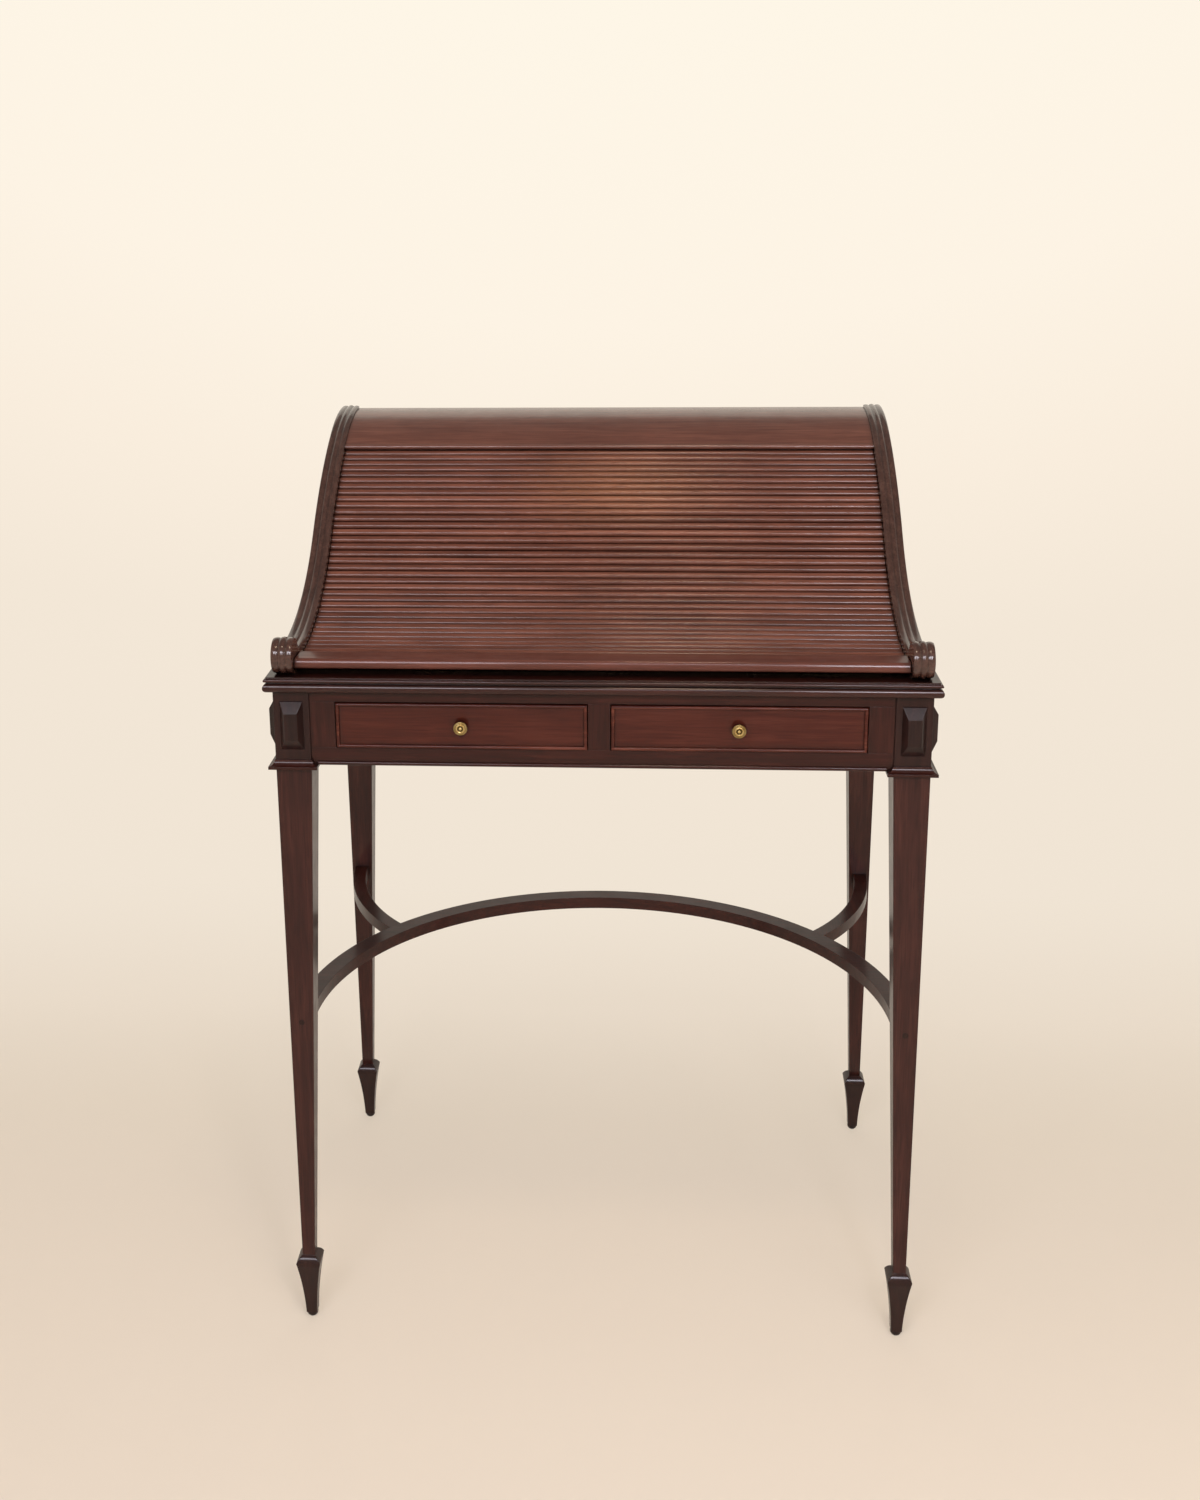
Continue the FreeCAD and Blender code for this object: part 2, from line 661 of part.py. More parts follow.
def roundel():
    y, z = FRONT + ROUNDEL_Y, DESK_HEIGHT + ROUNDEL_R
    outer = GABLE_OUT + ROUNDEL_OUT
    section = reeded_outline(lambda x, n: vec(x, y, z + ROUNDEL_R - REED_CROWN + n), GABLE_IN, outer)
    rim = section.revolve(vec(0, y, z), X_AXIS, 360)
    hub = Part.makeCylinder(ROUNDEL_R - PLATE_DROP, outer - GABLE_IN, vec(GABLE_IN, y, z), X_AXIS)
    return rim.fuse(hub)


def gable_plate():
    start = lowered(EDGE_START, PLATE_DROP)
    runs = edge_runs(PLATE_DROP)
    edges = []
    pose = start
    for length, bend in runs:
        middle, end = walk(pose, length / 2, bend), walk(pose, length, bend)
        a, m, b = (vec(GABLE_IN, p[0], p[1]) for p in (pose, middle, end))
        edges.append(line(a, b) if bend == 0 else arc(a, m, b))
        pose = end
    first, last = vec(GABLE_IN, start[0], start[1]), vec(GABLE_IN, pose[0], pose[1])
    foot_back, foot_front = vec(GABLE_IN, pose[0], DESK_HEIGHT), vec(GABLE_IN, start[0], DESK_HEIGHT)
    edges += [line(last, foot_back), line(foot_back, foot_front), line(foot_front, first)]
    return face_of(edges).extrude(vec(GABLE_T, 0, 0))


def tambour_groove():
    n1 = -TONGUE_TOP + GROOVE_SIDE_GAP
    n0 = -TONGUE_TOP - TONGUE_T - GROOVE_SIDE_GAP
    depth = END_GAP + TONGUE_L + GROOVE_END_GAP

    def section(pose):
        return rectangle_at(pose, GABLE_IN - 1, GABLE_IN - END_GAP + depth, n0, n1)

    start = walk(PATH_START, -GROOVE_SIDE_GAP, 0.0)
    runs = [(PATH_RUNS[0][0] + GROOVE_SIDE_GAP, 0.0)] + PATH_RUNS[1:]
    return fuse(sweep_runs(start, runs, section))


def gable():
    strip = sweep_runs(EDGE_START, edge_runs(0.0), edge_section)
    return fuse([gable_plate(), roundel()] + strip).cut(tambour_groove())


# Case
def fascia_pose():
    return FASCIA_FRONT, top_point(0.0, FASCIA_FRONT), slope_at(FASCIA_FRONT, ROUND_R)


def top_fascia():
    def section(pose):
        return rectangle_at(pose, -GABLE_IN, GABLE_IN, -FASCIA_DROP - FASCIA_T, -FASCIA_DROP)

    start = fascia_pose()
    runs = [(ROUND_R * (start[2] - CREST_SLOPE), -1 / ROUND_R), (CREST_R * CREST_SLOPE, -1 / CREST_R)]
    return fuse(sweep_runs(start, runs, section))


def fascia_bead():
    centre = at(fascia_pose(), -GABLE_IN, -FASCIA_DROP - FASCIA_T + FASCIA_BEAD_R)
    return Part.makeCylinder(FASCIA_BEAD_R, 2 * GABLE_IN, centre, X_AXIS).cut(top_fascia())


def back_panel():
    under = FASCIA_DROP + FASCIA_T
    ys = [PANEL_FRONT, (PANEL_FRONT + GABLE_BACK) / 2, GABLE_BACK]
    top = [vec(-GABLE_IN, y, top_point(under, y)) for y in ys]
    low_front, low_back = vec(-GABLE_IN, PANEL_FRONT, DESK_HEIGHT), vec(-GABLE_IN, GABLE_BACK, DESK_HEIGHT)
    edges = [arc(*top), line(top[2], low_back), line(low_back, low_front), line(low_front, top[0])]
    return face_of(edges).extrude(vec(2 * GABLE_IN, 0, 0))


def pigeonholes():
    y0, y1 = PIGEON_FRONT, FALSE_BACK_FRONT
    top = curtain_under(PIGEON_FRONT) - PIGEON_CLEAR - PIGEON_T
    shelf = box(-GABLE_IN, GABLE_IN, y0, y1, top, top + PIGEON_T)
    bay = (2 * GABLE_IN - PIGEON_DIVIDERS * PIGEON_T) / (PIGEON_DIVIDERS + 1)
    dividers = []
    for i in range(PIGEON_DIVIDERS):
        x = -GABLE_IN + bay * (i + 1) + PIGEON_T * i
        dividers.append(box(x, x + PIGEON_T, y0, y1, DESK_HEIGHT, top))
    return shelf, dividers


# Tambour
def bar(pose, half_length, s0, s1, n0, n1):
    a, b = walk(pose, s0, 0.0), walk(pose, s1, 0.0)
    section = polygon([at(a, -half_length, n0), at(b, -half_length, n0), at(b, -half_length, n1), at(a, -half_length, n1)])
    return section.extrude(vec(2 * half_length, 0, 0))


def rounded_bar(pose, half_length, s0, s1, n0, flank):
    # The upper face is one arc from flank to flank, touching the path at its crest; the flanks lean in below.
    a, m, b = (walk(pose, s, 0.0) for s in (s0, (s0 + s1) / 2, s1))
    high_a, high_b = at(a, -half_length, flank), at(b, -half_length, flank)
    low_a = at(walk(pose, s0 + SLAT_RELIEF, 0.0), -half_length, n0)
    low_b = at(walk(pose, s1 - SLAT_RELIEF, 0.0), -half_length, n0)
    edges = [line(low_a, low_b), line(low_b, high_b), arc(high_b, at(m, -half_length, 0.0), high_a), line(high_a, low_a)]
    return face_of(edges).extrude(vec(2 * half_length, 0, 0))


BODY_HALF = GABLE_IN - END_GAP
TONGUE_HALF = BODY_HALF + TONGUE_L


def slat(pose, s0):
    a, b = s0 + SLAT_GAP / 2, s0 + SLAT_PITCH - SLAT_GAP / 2
    body = rounded_bar(pose, BODY_HALF, a, b, -SLAT_T, -SLAT_FLANK)
    tongue = bar(pose, TONGUE_HALF, a + 1, b - 1, -TONGUE_TOP - TONGUE_T, -TONGUE_TOP)
    return fuse([body, tongue])


def tambour_strip(index):
    width = STRIP_SLATS * SLAT_PITCH
    pose = strip_pose(LEAD_W + width * (index + 0.5), width)
    start = -width / 2
    slats = [slat(pose, start + SLAT_PITCH * i) for i in range(STRIP_SLATS)]
    edge = SLAT_GAP / 2 + SLAT_RELIEF
    canvas = bar(pose, BODY_HALF, start + edge, start + width - edge, -SLAT_T - CANVAS_T, -SLAT_T)
    return slats + [canvas]


def lead_rail():
    pose = PATH_START
    depth = PATH_START[1] - DESK_HEIGHT - LEAD_LIFT
    rear = LEAD_W - SLAT_GAP / 2
    nose_r = (depth + LEAD_PROUD) * 0.45
    board = bar(pose, BODY_HALF, 0.0, rear, -depth, LEAD_PROUD)
    nose = [e for e in board.Edges if e.BoundBox.XLength > BODY_HALF and e.BoundBox.YMax < pose[0] + 0.01]
    board = board.makeFillet(nose_r, nose)
    tongue = bar(pose, TONGUE_HALF, nose_r, rear - 1, -TONGUE_TOP - TONGUE_T, -TONGUE_TOP)
    return fuse([board, tongue])


def save_base():
    right = front_leg().cut(plug(0.0))
    left = mirror_x(right)
    back_right = to_back(front_leg())
    frieze = frieze_pieces()
    solids = [solid for group in frieze.values() for solid in group]
    shoulder = fuse(solids)
    save("leg_front_right", right)
    save("leg_front_left", left)
    save("leg_back_right", back_right)
    save("leg_back_left", mirror_x(back_right))
    save("foot_glides", four_corners(foot_glide()))
    front_collar = collar(shoulder)
    back_collar = to_back(collar(to_back(shoulder)))
    save("leg_collars", both_sides(front_collar) + both_sides(back_collar))
    save("leg_bosses", leg_bosses())
    save("stretcher_hoop", stretcher_hoop([right, left]))
    stay = stretcher_stay(back_right)
    save("stretcher_stay_right", stay)
    save("stretcher_stay_left", mirror_x(stay))
    save("stretcher_plugs", both_sides(plug(PLUG_PROUD)))
    for name, group in frieze.items():
        save(name, group)
    save("apron_beads", apron_beads())
    save("drawer_runners", drawer_runners(OPEN_BOTTOM - RUNNER_H, OPEN_BOTTOM))
    save("drawer_kickers", drawer_runners(OPEN_TOP, DESK_UNDER))
    save("drawer_guides", drawer_guides())


def save_drawers():
    for name, group in drawer_pieces().items():
        save("drawer_right_" + name, group)
        save("drawer_left_" + name, [mirror_x(solid) for solid in group])


def save_case():
    save("desktop", desktop())
    save("writing_leather", leather())
    side = gable()
    save("gable_right", side)
    save("gable_left", mirror_x(side))
    save("top_fascia", top_fascia())
    save("fascia_bead", fascia_bead())
    save("back_panel", back_panel())
    save("false_back", box(-GABLE_IN, GABLE_IN, FALSE_BACK_FRONT, FALSE_BACK_REAR, DESK_HEIGHT, CORNER_Z))
    shelf, dividers = pigeonholes()
    save("pigeonhole_shelf", shelf)
    save("pigeonhole_dividers", dividers)


def save_tambour():
    save("tambour_lead_rail", lead_rail())
    for index in range(STRIPS):
        save("tambour_strip_%02d" % (index + 1), tambour_strip(index))


os.makedirs("parts", exist_ok=True)
save_base()
save_drawers()
save_case()
save_tambour()
print("desk written, tambour path %.1f mm long" % sum(length for length, _ in PATH_RUNS))
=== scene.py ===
import math
import bpy
import numpy as np
from mathutils import Matrix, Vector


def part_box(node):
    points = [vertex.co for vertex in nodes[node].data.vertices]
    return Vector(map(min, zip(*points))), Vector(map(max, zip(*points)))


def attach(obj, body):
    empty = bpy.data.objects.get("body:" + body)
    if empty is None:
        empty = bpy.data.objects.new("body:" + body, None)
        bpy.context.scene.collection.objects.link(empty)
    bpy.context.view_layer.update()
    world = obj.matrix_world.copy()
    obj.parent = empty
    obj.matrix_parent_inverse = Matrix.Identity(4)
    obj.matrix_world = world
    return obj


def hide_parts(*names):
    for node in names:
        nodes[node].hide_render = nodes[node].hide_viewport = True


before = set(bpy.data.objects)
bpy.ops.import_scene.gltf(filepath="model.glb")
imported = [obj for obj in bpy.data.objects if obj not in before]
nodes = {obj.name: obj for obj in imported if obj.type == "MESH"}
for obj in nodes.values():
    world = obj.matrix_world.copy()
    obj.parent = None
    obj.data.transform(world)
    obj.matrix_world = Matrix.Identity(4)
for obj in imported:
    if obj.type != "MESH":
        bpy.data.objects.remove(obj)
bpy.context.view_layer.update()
mm = 0.001
print("frame loaded:", len(nodes), "nodes")


def linearColour(hexText):
    # sRGB hex to linear: v / 12.92 near black, ((v + 0.055) / 1.055) ** 2.4 above it
    v = np.array([int(hexText[i:i + 2], 16) for i in (1, 3, 5)]) / 255
    low = v / 12.92
    high = ((v + 0.055) / 1.055) ** 2.4
    return (*np.where(v <= 0.04045, low, high).tolist(), 1.0)


def addNode(tree, kind, settings=None, links=None):
    # settings: attribute or input name to value; links: input name to the socket that feeds it
    node = tree.nodes.new(kind)
    for name, value in (settings or {}).items():
        if isinstance(name, str) and hasattr(node, name):
            setattr(node, name, value)
        else:
            node.inputs[name].default_value = value
    for name, source in (links or {}).items():
        tree.links.new(source, node.inputs[name])
    return node


def newMaterial(name):
    material = bpy.data.materials.new(name)
    material.use_nodes = True
    material.node_tree.nodes.clear()
    return material, material.node_tree


def patchNoise(tree, place, sizeMm, settings):
    # noise in patches of about sizeMm
    settings = {"Scale": 1 / (sizeMm * mm), **settings}
    return addNode(tree, "ShaderNodeTexNoise", settings, {"Vector": place}).outputs["Fac"]


def mapSpan(tree, value, source, target, ease="LINEAR"):
    # the span source of a value is laid on the span target, and held at its ends
    settings = {"interpolation_type": ease, "From Min": source[0], "From Max": source[1]}
    settings.update({"To Min": target[0], "To Max": target[1]})
    return addNode(tree, "ShaderNodeMapRange", settings, {"Value": value}).outputs["Result"]


def mixTone(tree, share, a, b):
    settings = {"data_type": "FLOAT", "Factor": share}
    return addNode(tree, "ShaderNodeMix", settings, {"A": a, "B": b}).outputs["Result"]


def tintWith(tree, share, colour, hexText):
    # a flat colour laid over another by share
    settings = {"data_type": "RGBA", "B": linearColour(hexText)}
    return addNode(tree, "ShaderNodeMix", settings, {"Factor": share, "A": colour}).outputs["Result"]


def joinValues(tree, operation, a, b):
    return addNode(tree, "ShaderNodeMath", {"operation": operation}, {0: a, 1: b}).outputs["Value"]


def toneRamp(tree, value, stops):
    # stops: (position, hex) from left to right
    node = addNode(tree, "ShaderNodeValToRGB", None, {"Fac": value})
    ramp = node.color_ramp
    while len(ramp.elements) < len(stops):
        ramp.elements.new(1.0)
    for element, (position, hexText) in zip(ramp.elements, stops):
        element.position = position
        element.color = linearColour(hexText)
    return node.outputs["Color"]


# Mahogany, planed and french polished: straight brown-red wood. The eye gets slow bands of tone, thin
# streaks, short dark pores along the grain, and a hard gloss that is not quite flat, so highlights waver.
caseMahogany = {
    "dark": "#1e0a07", "middle": "#2d100b", "light": "#3e1a13", "stops": (0.30, 0.50, 0.72),
    "driftMm": 110.0, "driftShare": 0.30, "fibreMm": 1.6, "fibreShare": 0.22,
    "streakMm": 6.0, "stretch": 20.0,
    # pores are really 0.2 mm wide, drawn coarse to show
    "poreMm": 1.3, "poreStretch": 22.0, "poreFrom": (0.60, 0.70), "poreDepth": 0.45, "poreBumpMm": 0.04,
    # old wax and dust, and painted shade with them, darken corners and quirks, by how open the place is
    "waxAndShade": "#0b0504", "grimeAndShade": 0.75, "grimeAndShadeMm": 7.0, "nook": (0.25, 0.95),
    # the polish has the gloss, the wood under it has little
    "roughness": (0.40, 0.55), "rub": (0.3, 0.7), "under": 0.08, "ior": 1.5, "coat": 0.45,
    "coatRoughness": 0.14, "unevenMm": 22.0, "unevenDepthMm": 0.04, "edgeMm": 0.8, "samples": 4,
}
# Bosses and glides: stained darker
blockMahogany = dict(caseMahogany, dark="#150908", middle="#20100e", light="#2d1715")
# Slats: each has its own tone; the tones are lighter than the case's as painted light for the light the
# curtain catches from above, and a painted warm reflection lightens the upper middle of the curtain
slatMahogany = dict(caseMahogany, dark="#47251b", middle="#62392c", light="#794a3a", driftMm=60.0,
                    edgeMm=0.0, coat=0.5, coatRoughness=0.16, slatShare=0.10,
                    warmSheenTint="#966547", warmSheenShare=0.45,
                    warmSheenAt=(0.01, 0.06, 0.90), warmSheenReach=(0.16, 0.10, 0.07))
fasciaMahogany = dict(caseMahogany, dark="#49271f", middle="#5c362b", light="#6e4437",
                      coat=1.0, coatRoughness=0.18)
# Lead rail: its painted shade is deeper and reaches further, darkening it near the desktop and the gables
leadMahogany = dict(fasciaMahogany, dark="#43231b", middle="#542e25", light="#663c31",
                    coat=0.5, coatRoughness=0.12, grimeAndShade=0.9, grimeAndShadeMm=10.0)
# Desktop: painted shadow darkens it where the lead rail stands on it, reaching far, for the shade under the
# rail's nose
deskMahogany = dict(caseMahogany, grimeAndShade=0.92, grimeAndShadeMm=20.0, coat=0.65)
gableMahogany = dict(caseMahogany, dark="#2b1914", middle="#402922", light="#553b32",
                     coat=1.0, coatRoughness=0.13)
# Legs: blocks and feet are stained dark; on the blocks under the desktop the darkening is also painted shade
# from its overhang
legMahogany = dict(caseMahogany, dark="#230f0d", middle="#331814", light="#472620",
                   stainAndShadeFromMm=656.0, stainToMm=79.0, stainAndShadeFadeMm=4.0, stainAndShadeShare=0.6)
drawerMahogany = dict(caseMahogany, dark="#300f09", middle="#3f170e", light="#50241a", edgeMm=0.6)
# Cock beads: paler than the drawer front, a painted highlight for the light line along the raised bead
beadMahogany = dict(drawerMahogany, light="#6b3a2c", grimeAndShadeMm=3.0, coat=0.45, coatRoughness=0.2)
insideMahogany = dict(caseMahogany, dark="#4a2618", middle="#6e3d27", light="#8c5538",
                      coat=0.2, coatRoughness=0.3, roughness=(0.45, 0.6))
# Oak drawer lining: pale open-grained wood left bare, so matt, with long dark pores
liningOak = dict(caseMahogany, dark="#8a6743", middle="#b08c61", light="#c9a97d",
                 poreMm=1.6, poreStretch=18.0, poreDepth=0.6, roughness=(0.6, 0.78),
                 coat=0.0, coatRoughness=0.3, edgeMm=0.5)
# Screw plugs: short-grained wood across the leg, stained darker than it
plugWood = dict(caseMahogany, dark="#150705", middle="#200c09", light="#2c130f", streakMm=3.0, stretch=4.0)
grainTurn = {"x": (0, 0, 0), "y": (0, 0, -math.pi / 2), "z": (0, math.pi / 2, 0)}


def woodMaterial(name, wood, grain):
    material, tree = newMaterial(name)
    place = addNode(tree, "ShaderNodeTexCoord").outputs["Object"]
    settings = {"Rotation": grainTurn[grain]}
    turn = addNode(tree, "ShaderNodeMapping", settings, {"Vector": place}).outputs["Vector"]
    along, thin = (addNode(tree, "ShaderNodeMapping", {"Scale": (1 / wood[key], 1, 1)},
                           {"Vector": turn}).outputs["Vector"] for key in ("stretch", "poreStretch"))
    drift = patchNoise(tree, turn, wood["driftMm"], {"Detail": 2.0})
    streak = patchNoise(tree, along, wood["streakMm"], {"Detail": 4.0, "Roughness": 0.55, "Distortion": 0.4})
    fibre = patchNoise(tree, along, wood["fibreMm"], {"Detail": 2.0})
    pore = patchNoise(tree, thin, wood["poreMm"], {"Detail": 0.0})
    tone = mixTone(tree, wood["driftShare"], streak, drift)
    tone = mixTone(tree, wood["fibreShare"], tone, fibre)
    if "slatShare" in wood:  # each slat was cut from another board
        cut = addNode(tree, "ShaderNodeAttribute", {"attribute_name": "slatTone"}).outputs["Fac"]
        tone = addNode(tree, "ShaderNodeMath", {"operation": "MULTIPLY_ADD", 1: wood["slatShare"]},
                       {0: cut, 2: tone}).outputs["Value"]
    colour = toneRamp(tree, tone, list(zip(wood["stops"], (wood["dark"], wood["middle"], wood["light"]))))
    # painted reflection: a warm light patch laid on the slats round one place, fading with distance
    if "warmSheenTint" in wood:
        settings = {"vector_type": "TEXTURE", "Location": wood["warmSheenAt"], "Scale": wood["warmSheenReach"]}
        spot = addNode(tree, "ShaderNodeMapping", settings, {"Vector": place}).outputs["Vector"]
        away = addNode(tree, "ShaderNodeVectorMath", {"operation": "LENGTH"}, {0: spot}).outputs["Value"]
        warmSheen = mapSpan(tree, away, (1.0, 0.0), (0.0, wood["warmSheenShare"]), "SMOOTHSTEP")
        colour = tintWith(tree, warmSheen, colour, wood["warmSheenTint"])
    # darker above the block's lower edge and below the foot's shoulder: stain, and on the block also painted
    # shade under the desktop
    if "stainAndShadeFromMm" in wood:
        level = addNode(tree, "ShaderNodeSeparateXYZ", None, {"Vector": place}).outputs["Z"]
        high = (wood["stainAndShadeFromMm"] * mm, (wood["stainAndShadeFromMm"] + wood["stainAndShadeFadeMm"]) * mm)
        low = ((wood["stainToMm"] + wood["stainAndShadeFadeMm"]) * mm, wood["stainToMm"] * mm)
        above, below = (mapSpan(tree, level, span, (0.0, wood["stainAndShadeShare"])) for span in (high, low))
        colour = tintWith(tree, joinValues(tree, "MAXIMUM", above, below), colour, blockMahogany["dark"])
    pit = mapSpan(tree, pore, wood["poreFrom"], (0.0, wood["poreDepth"]))
    colour = tintWith(tree, pit, colour, wood["dark"])
    # painted shade: the colour is darkened toward the wax tone where ambient occlusion finds other surfaces
    # near, for the shade in corners and quirks as well as old wax
    settings = {"samples": wood["samples"], "Distance": wood["grimeAndShadeMm"] * mm}
    nook = addNode(tree, "ShaderNodeAmbientOcclusion", settings).outputs["AO"]
    colour = tintWith(tree, mapSpan(tree, nook, wood["nook"], (wood["grimeAndShade"], 0.0)), colour, wood["waxAndShade"])
    rub = patchNoise(tree, turn, wood["unevenMm"], {"Detail": 3.0})
    gloss = mapSpan(tree, rub, wood["rub"], wood["roughness"])
    settings = {"Strength": 1.0, "Distance": wood["unevenDepthMm"] * mm}
    wave = addNode(tree, "ShaderNodeBump", settings, {"Height": rub})
    if wood["edgeMm"]:  # arrises are taken off by hand, and catch a thin line of light
        arris = addNode(tree, "ShaderNodeBevel", {"samples": wood["samples"], "Radius": wood["edgeMm"] * mm})
        tree.links.new(arris.outputs["Normal"], wave.inputs["Normal"])
    settings = {"Strength": 1.0, "Distance": wood["poreBumpMm"] * mm, "invert": True}
    pitted = addNode(tree, "ShaderNodeBump", settings, {"Height": pit, "Normal": wave.outputs["Normal"]})
    settings = {"IOR": wood["ior"], "Specular IOR Level": wood["under"], "Coat IOR": wood["ior"]}
    settings.update({"Coat Weight": wood["coat"], "Coat Roughness": wood["coatRoughness"]})
    skin = addNode(tree, "ShaderNodeBsdfPrincipled", settings,
                   {"Base Color": colour, "Roughness": gloss, "Normal": pitted.outputs["Normal"],
                    "Coat Normal": wave.outputs["Normal"]})
    addNode(tree, "ShaderNodeOutputMaterial", None, {"Surface": skin.outputs["BSDF"]})
    return material


# Turned brass, lacquered and a little dulled: warm yellow metal, browner in patches, dirt in the grooves
knobBrass = {"bright": "#dcc68c", "dull": "#b4985c", "stops": (0.35, 0.62), "groove": "#2e200c",
             "blotchMm": 6.0, "blotch": (0.3, 0.7), "roughness": (0.46, 0.36)}


def brassMaterial(name, brass):
    material, tree = newMaterial(name)
    place = addNode(tree, "ShaderNodeTexCoord").outputs["Object"]
    blotch = patchNoise(tree, place, brass["blotchMm"], {"Detail": 4.0})
    colour = toneRamp(tree, blotch, list(zip(brass["stops"], (brass["dull"], brass["bright"]))))
    cut = addNode(tree, "ShaderNodeAttribute", {"attribute_name": "tarnish"}).outputs["Fac"]
    colour = tintWith(tree, cut, colour, brass["groove"])
    gloss = mapSpan(tree, blotch, brass["blotch"], brass["roughness"])
    skin = addNode(tree, "ShaderNodeBsdfPrincipled", {"Metallic": 1.0},
                   {"Base Color": colour, "Roughness": gloss})
    addNode(tree, "ShaderNodeOutputMaterial", None, {"Surface": skin.outputs["BSDF"]})
    return material


# Calf writing leather, dyed dark green: fine pebbled grain, soft sheen, rubbed patches, and a gilt line
# tooled inside its edge
deskLeather = {"dark": "#16241a", "light": "#2c4030", "stops": (0.35, 0.65), "rubMm": 70.0,
               "gilt": "#b08d4a", "lineInMm": 9.0, "lineMm": 1.2,
               "grainMm": 1.4, "bumpMm": 0.12, "bump": 0.5, "roughness": 0.5, "ior": 1.45}


def leatherMaterial(name, hide, low, high):
    material, tree = newMaterial(name)
    place = addNode(tree, "ShaderNodeTexCoord").outputs["Object"]
    middle = [-(a + b) / 2 for a, b in zip(low, high)]
    half = [(b - a) / 2 - hide["lineInMm"] * mm for a, b in zip(low, high)]
    # how far a place is from the line, in the plane of the leather
    centred = addNode(tree, "ShaderNodeMapping", {"Location": middle}, {"Vector": place}).outputs["Vector"]
    inner = addNode(tree, "ShaderNodeVectorMath", {"operation": "ABSOLUTE"}, {0: centred}).outputs["Vector"]
    settings = {"operation": "SUBTRACT", 1: half}
    inner = addNode(tree, "ShaderNodeVectorMath", settings, {0: inner}).outputs["Vector"]
    split = addNode(tree, "ShaderNodeSeparateXYZ", None, {"Vector": inner})
    edge = joinValues(tree, "MAXIMUM", split.outputs["X"], split.outputs["Y"])
    edge = addNode(tree, "ShaderNodeMath", {"operation": "ABSOLUTE"}, {0: edge}).outputs["Value"]
    settings = {"operation": "LESS_THAN", 1: hide["lineMm"] * mm / 2}
    line = addNode(tree, "ShaderNodeMath", settings, {0: edge}).outputs["Value"]
    grain = addNode(tree, "ShaderNodeTexVoronoi", {"Scale": 1 / (hide["grainMm"] * mm)}, {"Vector": place})
    rub = patchNoise(tree, place, hide["rubMm"], {"Detail": 4.0})
    colour = toneRamp(tree, rub, list(zip(hide["stops"], (hide["dark"], hide["light"]))))
    colour = tintWith(tree, line, colour, hide["gilt"])
    bump = addNode(tree, "ShaderNodeBump", {"Strength": hide["bump"], "Distance": hide["bumpMm"] * mm},
                   {"Height": grain.outputs["Distance"]})
    skin = addNode(tree, "ShaderNodeBsdfPrincipled", {"Roughness": hide["roughness"], "IOR": hide["ior"]},
                   {"Base Color": colour, "Metallic": line, "Normal": bump.outputs["Normal"]})
    addNode(tree, "ShaderNodeOutputMaterial", None, {"Surface": skin.outputs["BSDF"]})
    return material


# Linen canvas glued behind the slats: flat undyed weave, matt; threads are really 0.5 mm, drawn coarse
slatCanvas = {"thread": "#b7a687", "between": "#7d6d52", "stops": (0.0, 0.5), "threadMm": 1.6,
              "bumpMm": 0.2, "bump": 0.6, "roughness": 0.9}


def canvasMaterial(name, cloth):
    material, tree = newMaterial(name)
    flat = addNode(tree, "ShaderNodeUVMap").outputs["UV"]
    scale = math.pi / 10 / (cloth["threadMm"] * mm)  # a wave repeats every pi / 10 / scale
    warp, weft = (addNode(tree, "ShaderNodeTexWave", {"bands_direction": way, "Scale": scale},
                          {"Vector": flat}).outputs["Fac"] for way in ("X", "Y"))
    weave = joinValues(tree, "MULTIPLY", warp, weft)
    colour = toneRamp(tree, weave, list(zip(cloth["stops"], (cloth["between"], cloth["thread"]))))
    bump = addNode(tree, "ShaderNodeBump", {"Strength": cloth["bump"], "Distance": cloth["bumpMm"] * mm},
                   {"Height": weave})
    skin = addNode(tree, "ShaderNodeBsdfPrincipled", {"Roughness": cloth["roughness"]},
                   {"Base Color": colour, "Normal": bump.outputs["Normal"]})
    addNode(tree, "ShaderNodeOutputMaterial", None, {"Surface": skin.outputs["BSDF"]})
    return material


woodFinishes = {
    "case_x": ("polished_mahogany_x", caseMahogany, "x"),
    "case_y": ("polished_mahogany_y", caseMahogany, "y"),
    "case_z": ("polished_mahogany_z", caseMahogany, "z"),
    "slat": ("tambour_slat_mahogany", slatMahogany, "x"),
    "fascia": ("fascia_mahogany", fasciaMahogany, "x"),
    "lead": ("lead_rail_mahogany", leadMahogany, "x"),
    "gable": ("gable_mahogany", gableMahogany, "y"),
    "leg": ("leg_mahogany", legMahogany, "z"),
    "desk": ("desktop_mahogany", deskMahogany, "x"),
    "block": ("dark_block_mahogany", blockMahogany, "z"),
    "drawer": ("drawer_mahogany", drawerMahogany, "x"),
    "bead": ("cock_bead_mahogany", beadMahogany, "x"),
    "inside_x": ("thin_polished_mahogany_x", insideMahogany, "x"),
    "inside_z": ("thin_polished_mahogany_z", insideMahogany, "z"),
    "oak_x": ("bare_oak_x", liningOak, "x"),
    "oak_y": ("bare_oak_y", liningOak, "y"),
    "plug": ("plug_wood", plugWood, "z"),
}
finishes = {key: woodMaterial(*values) for key, values in woodFinishes.items()}
finishes["brass"] = brassMaterial("turned_brass", knobBrass)
finishes["leather"] = leatherMaterial("writing_calf", deskLeather, *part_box("writing_leather"))
finishes["canvas"] = canvasMaterial("linen_canvas", slatCanvas)

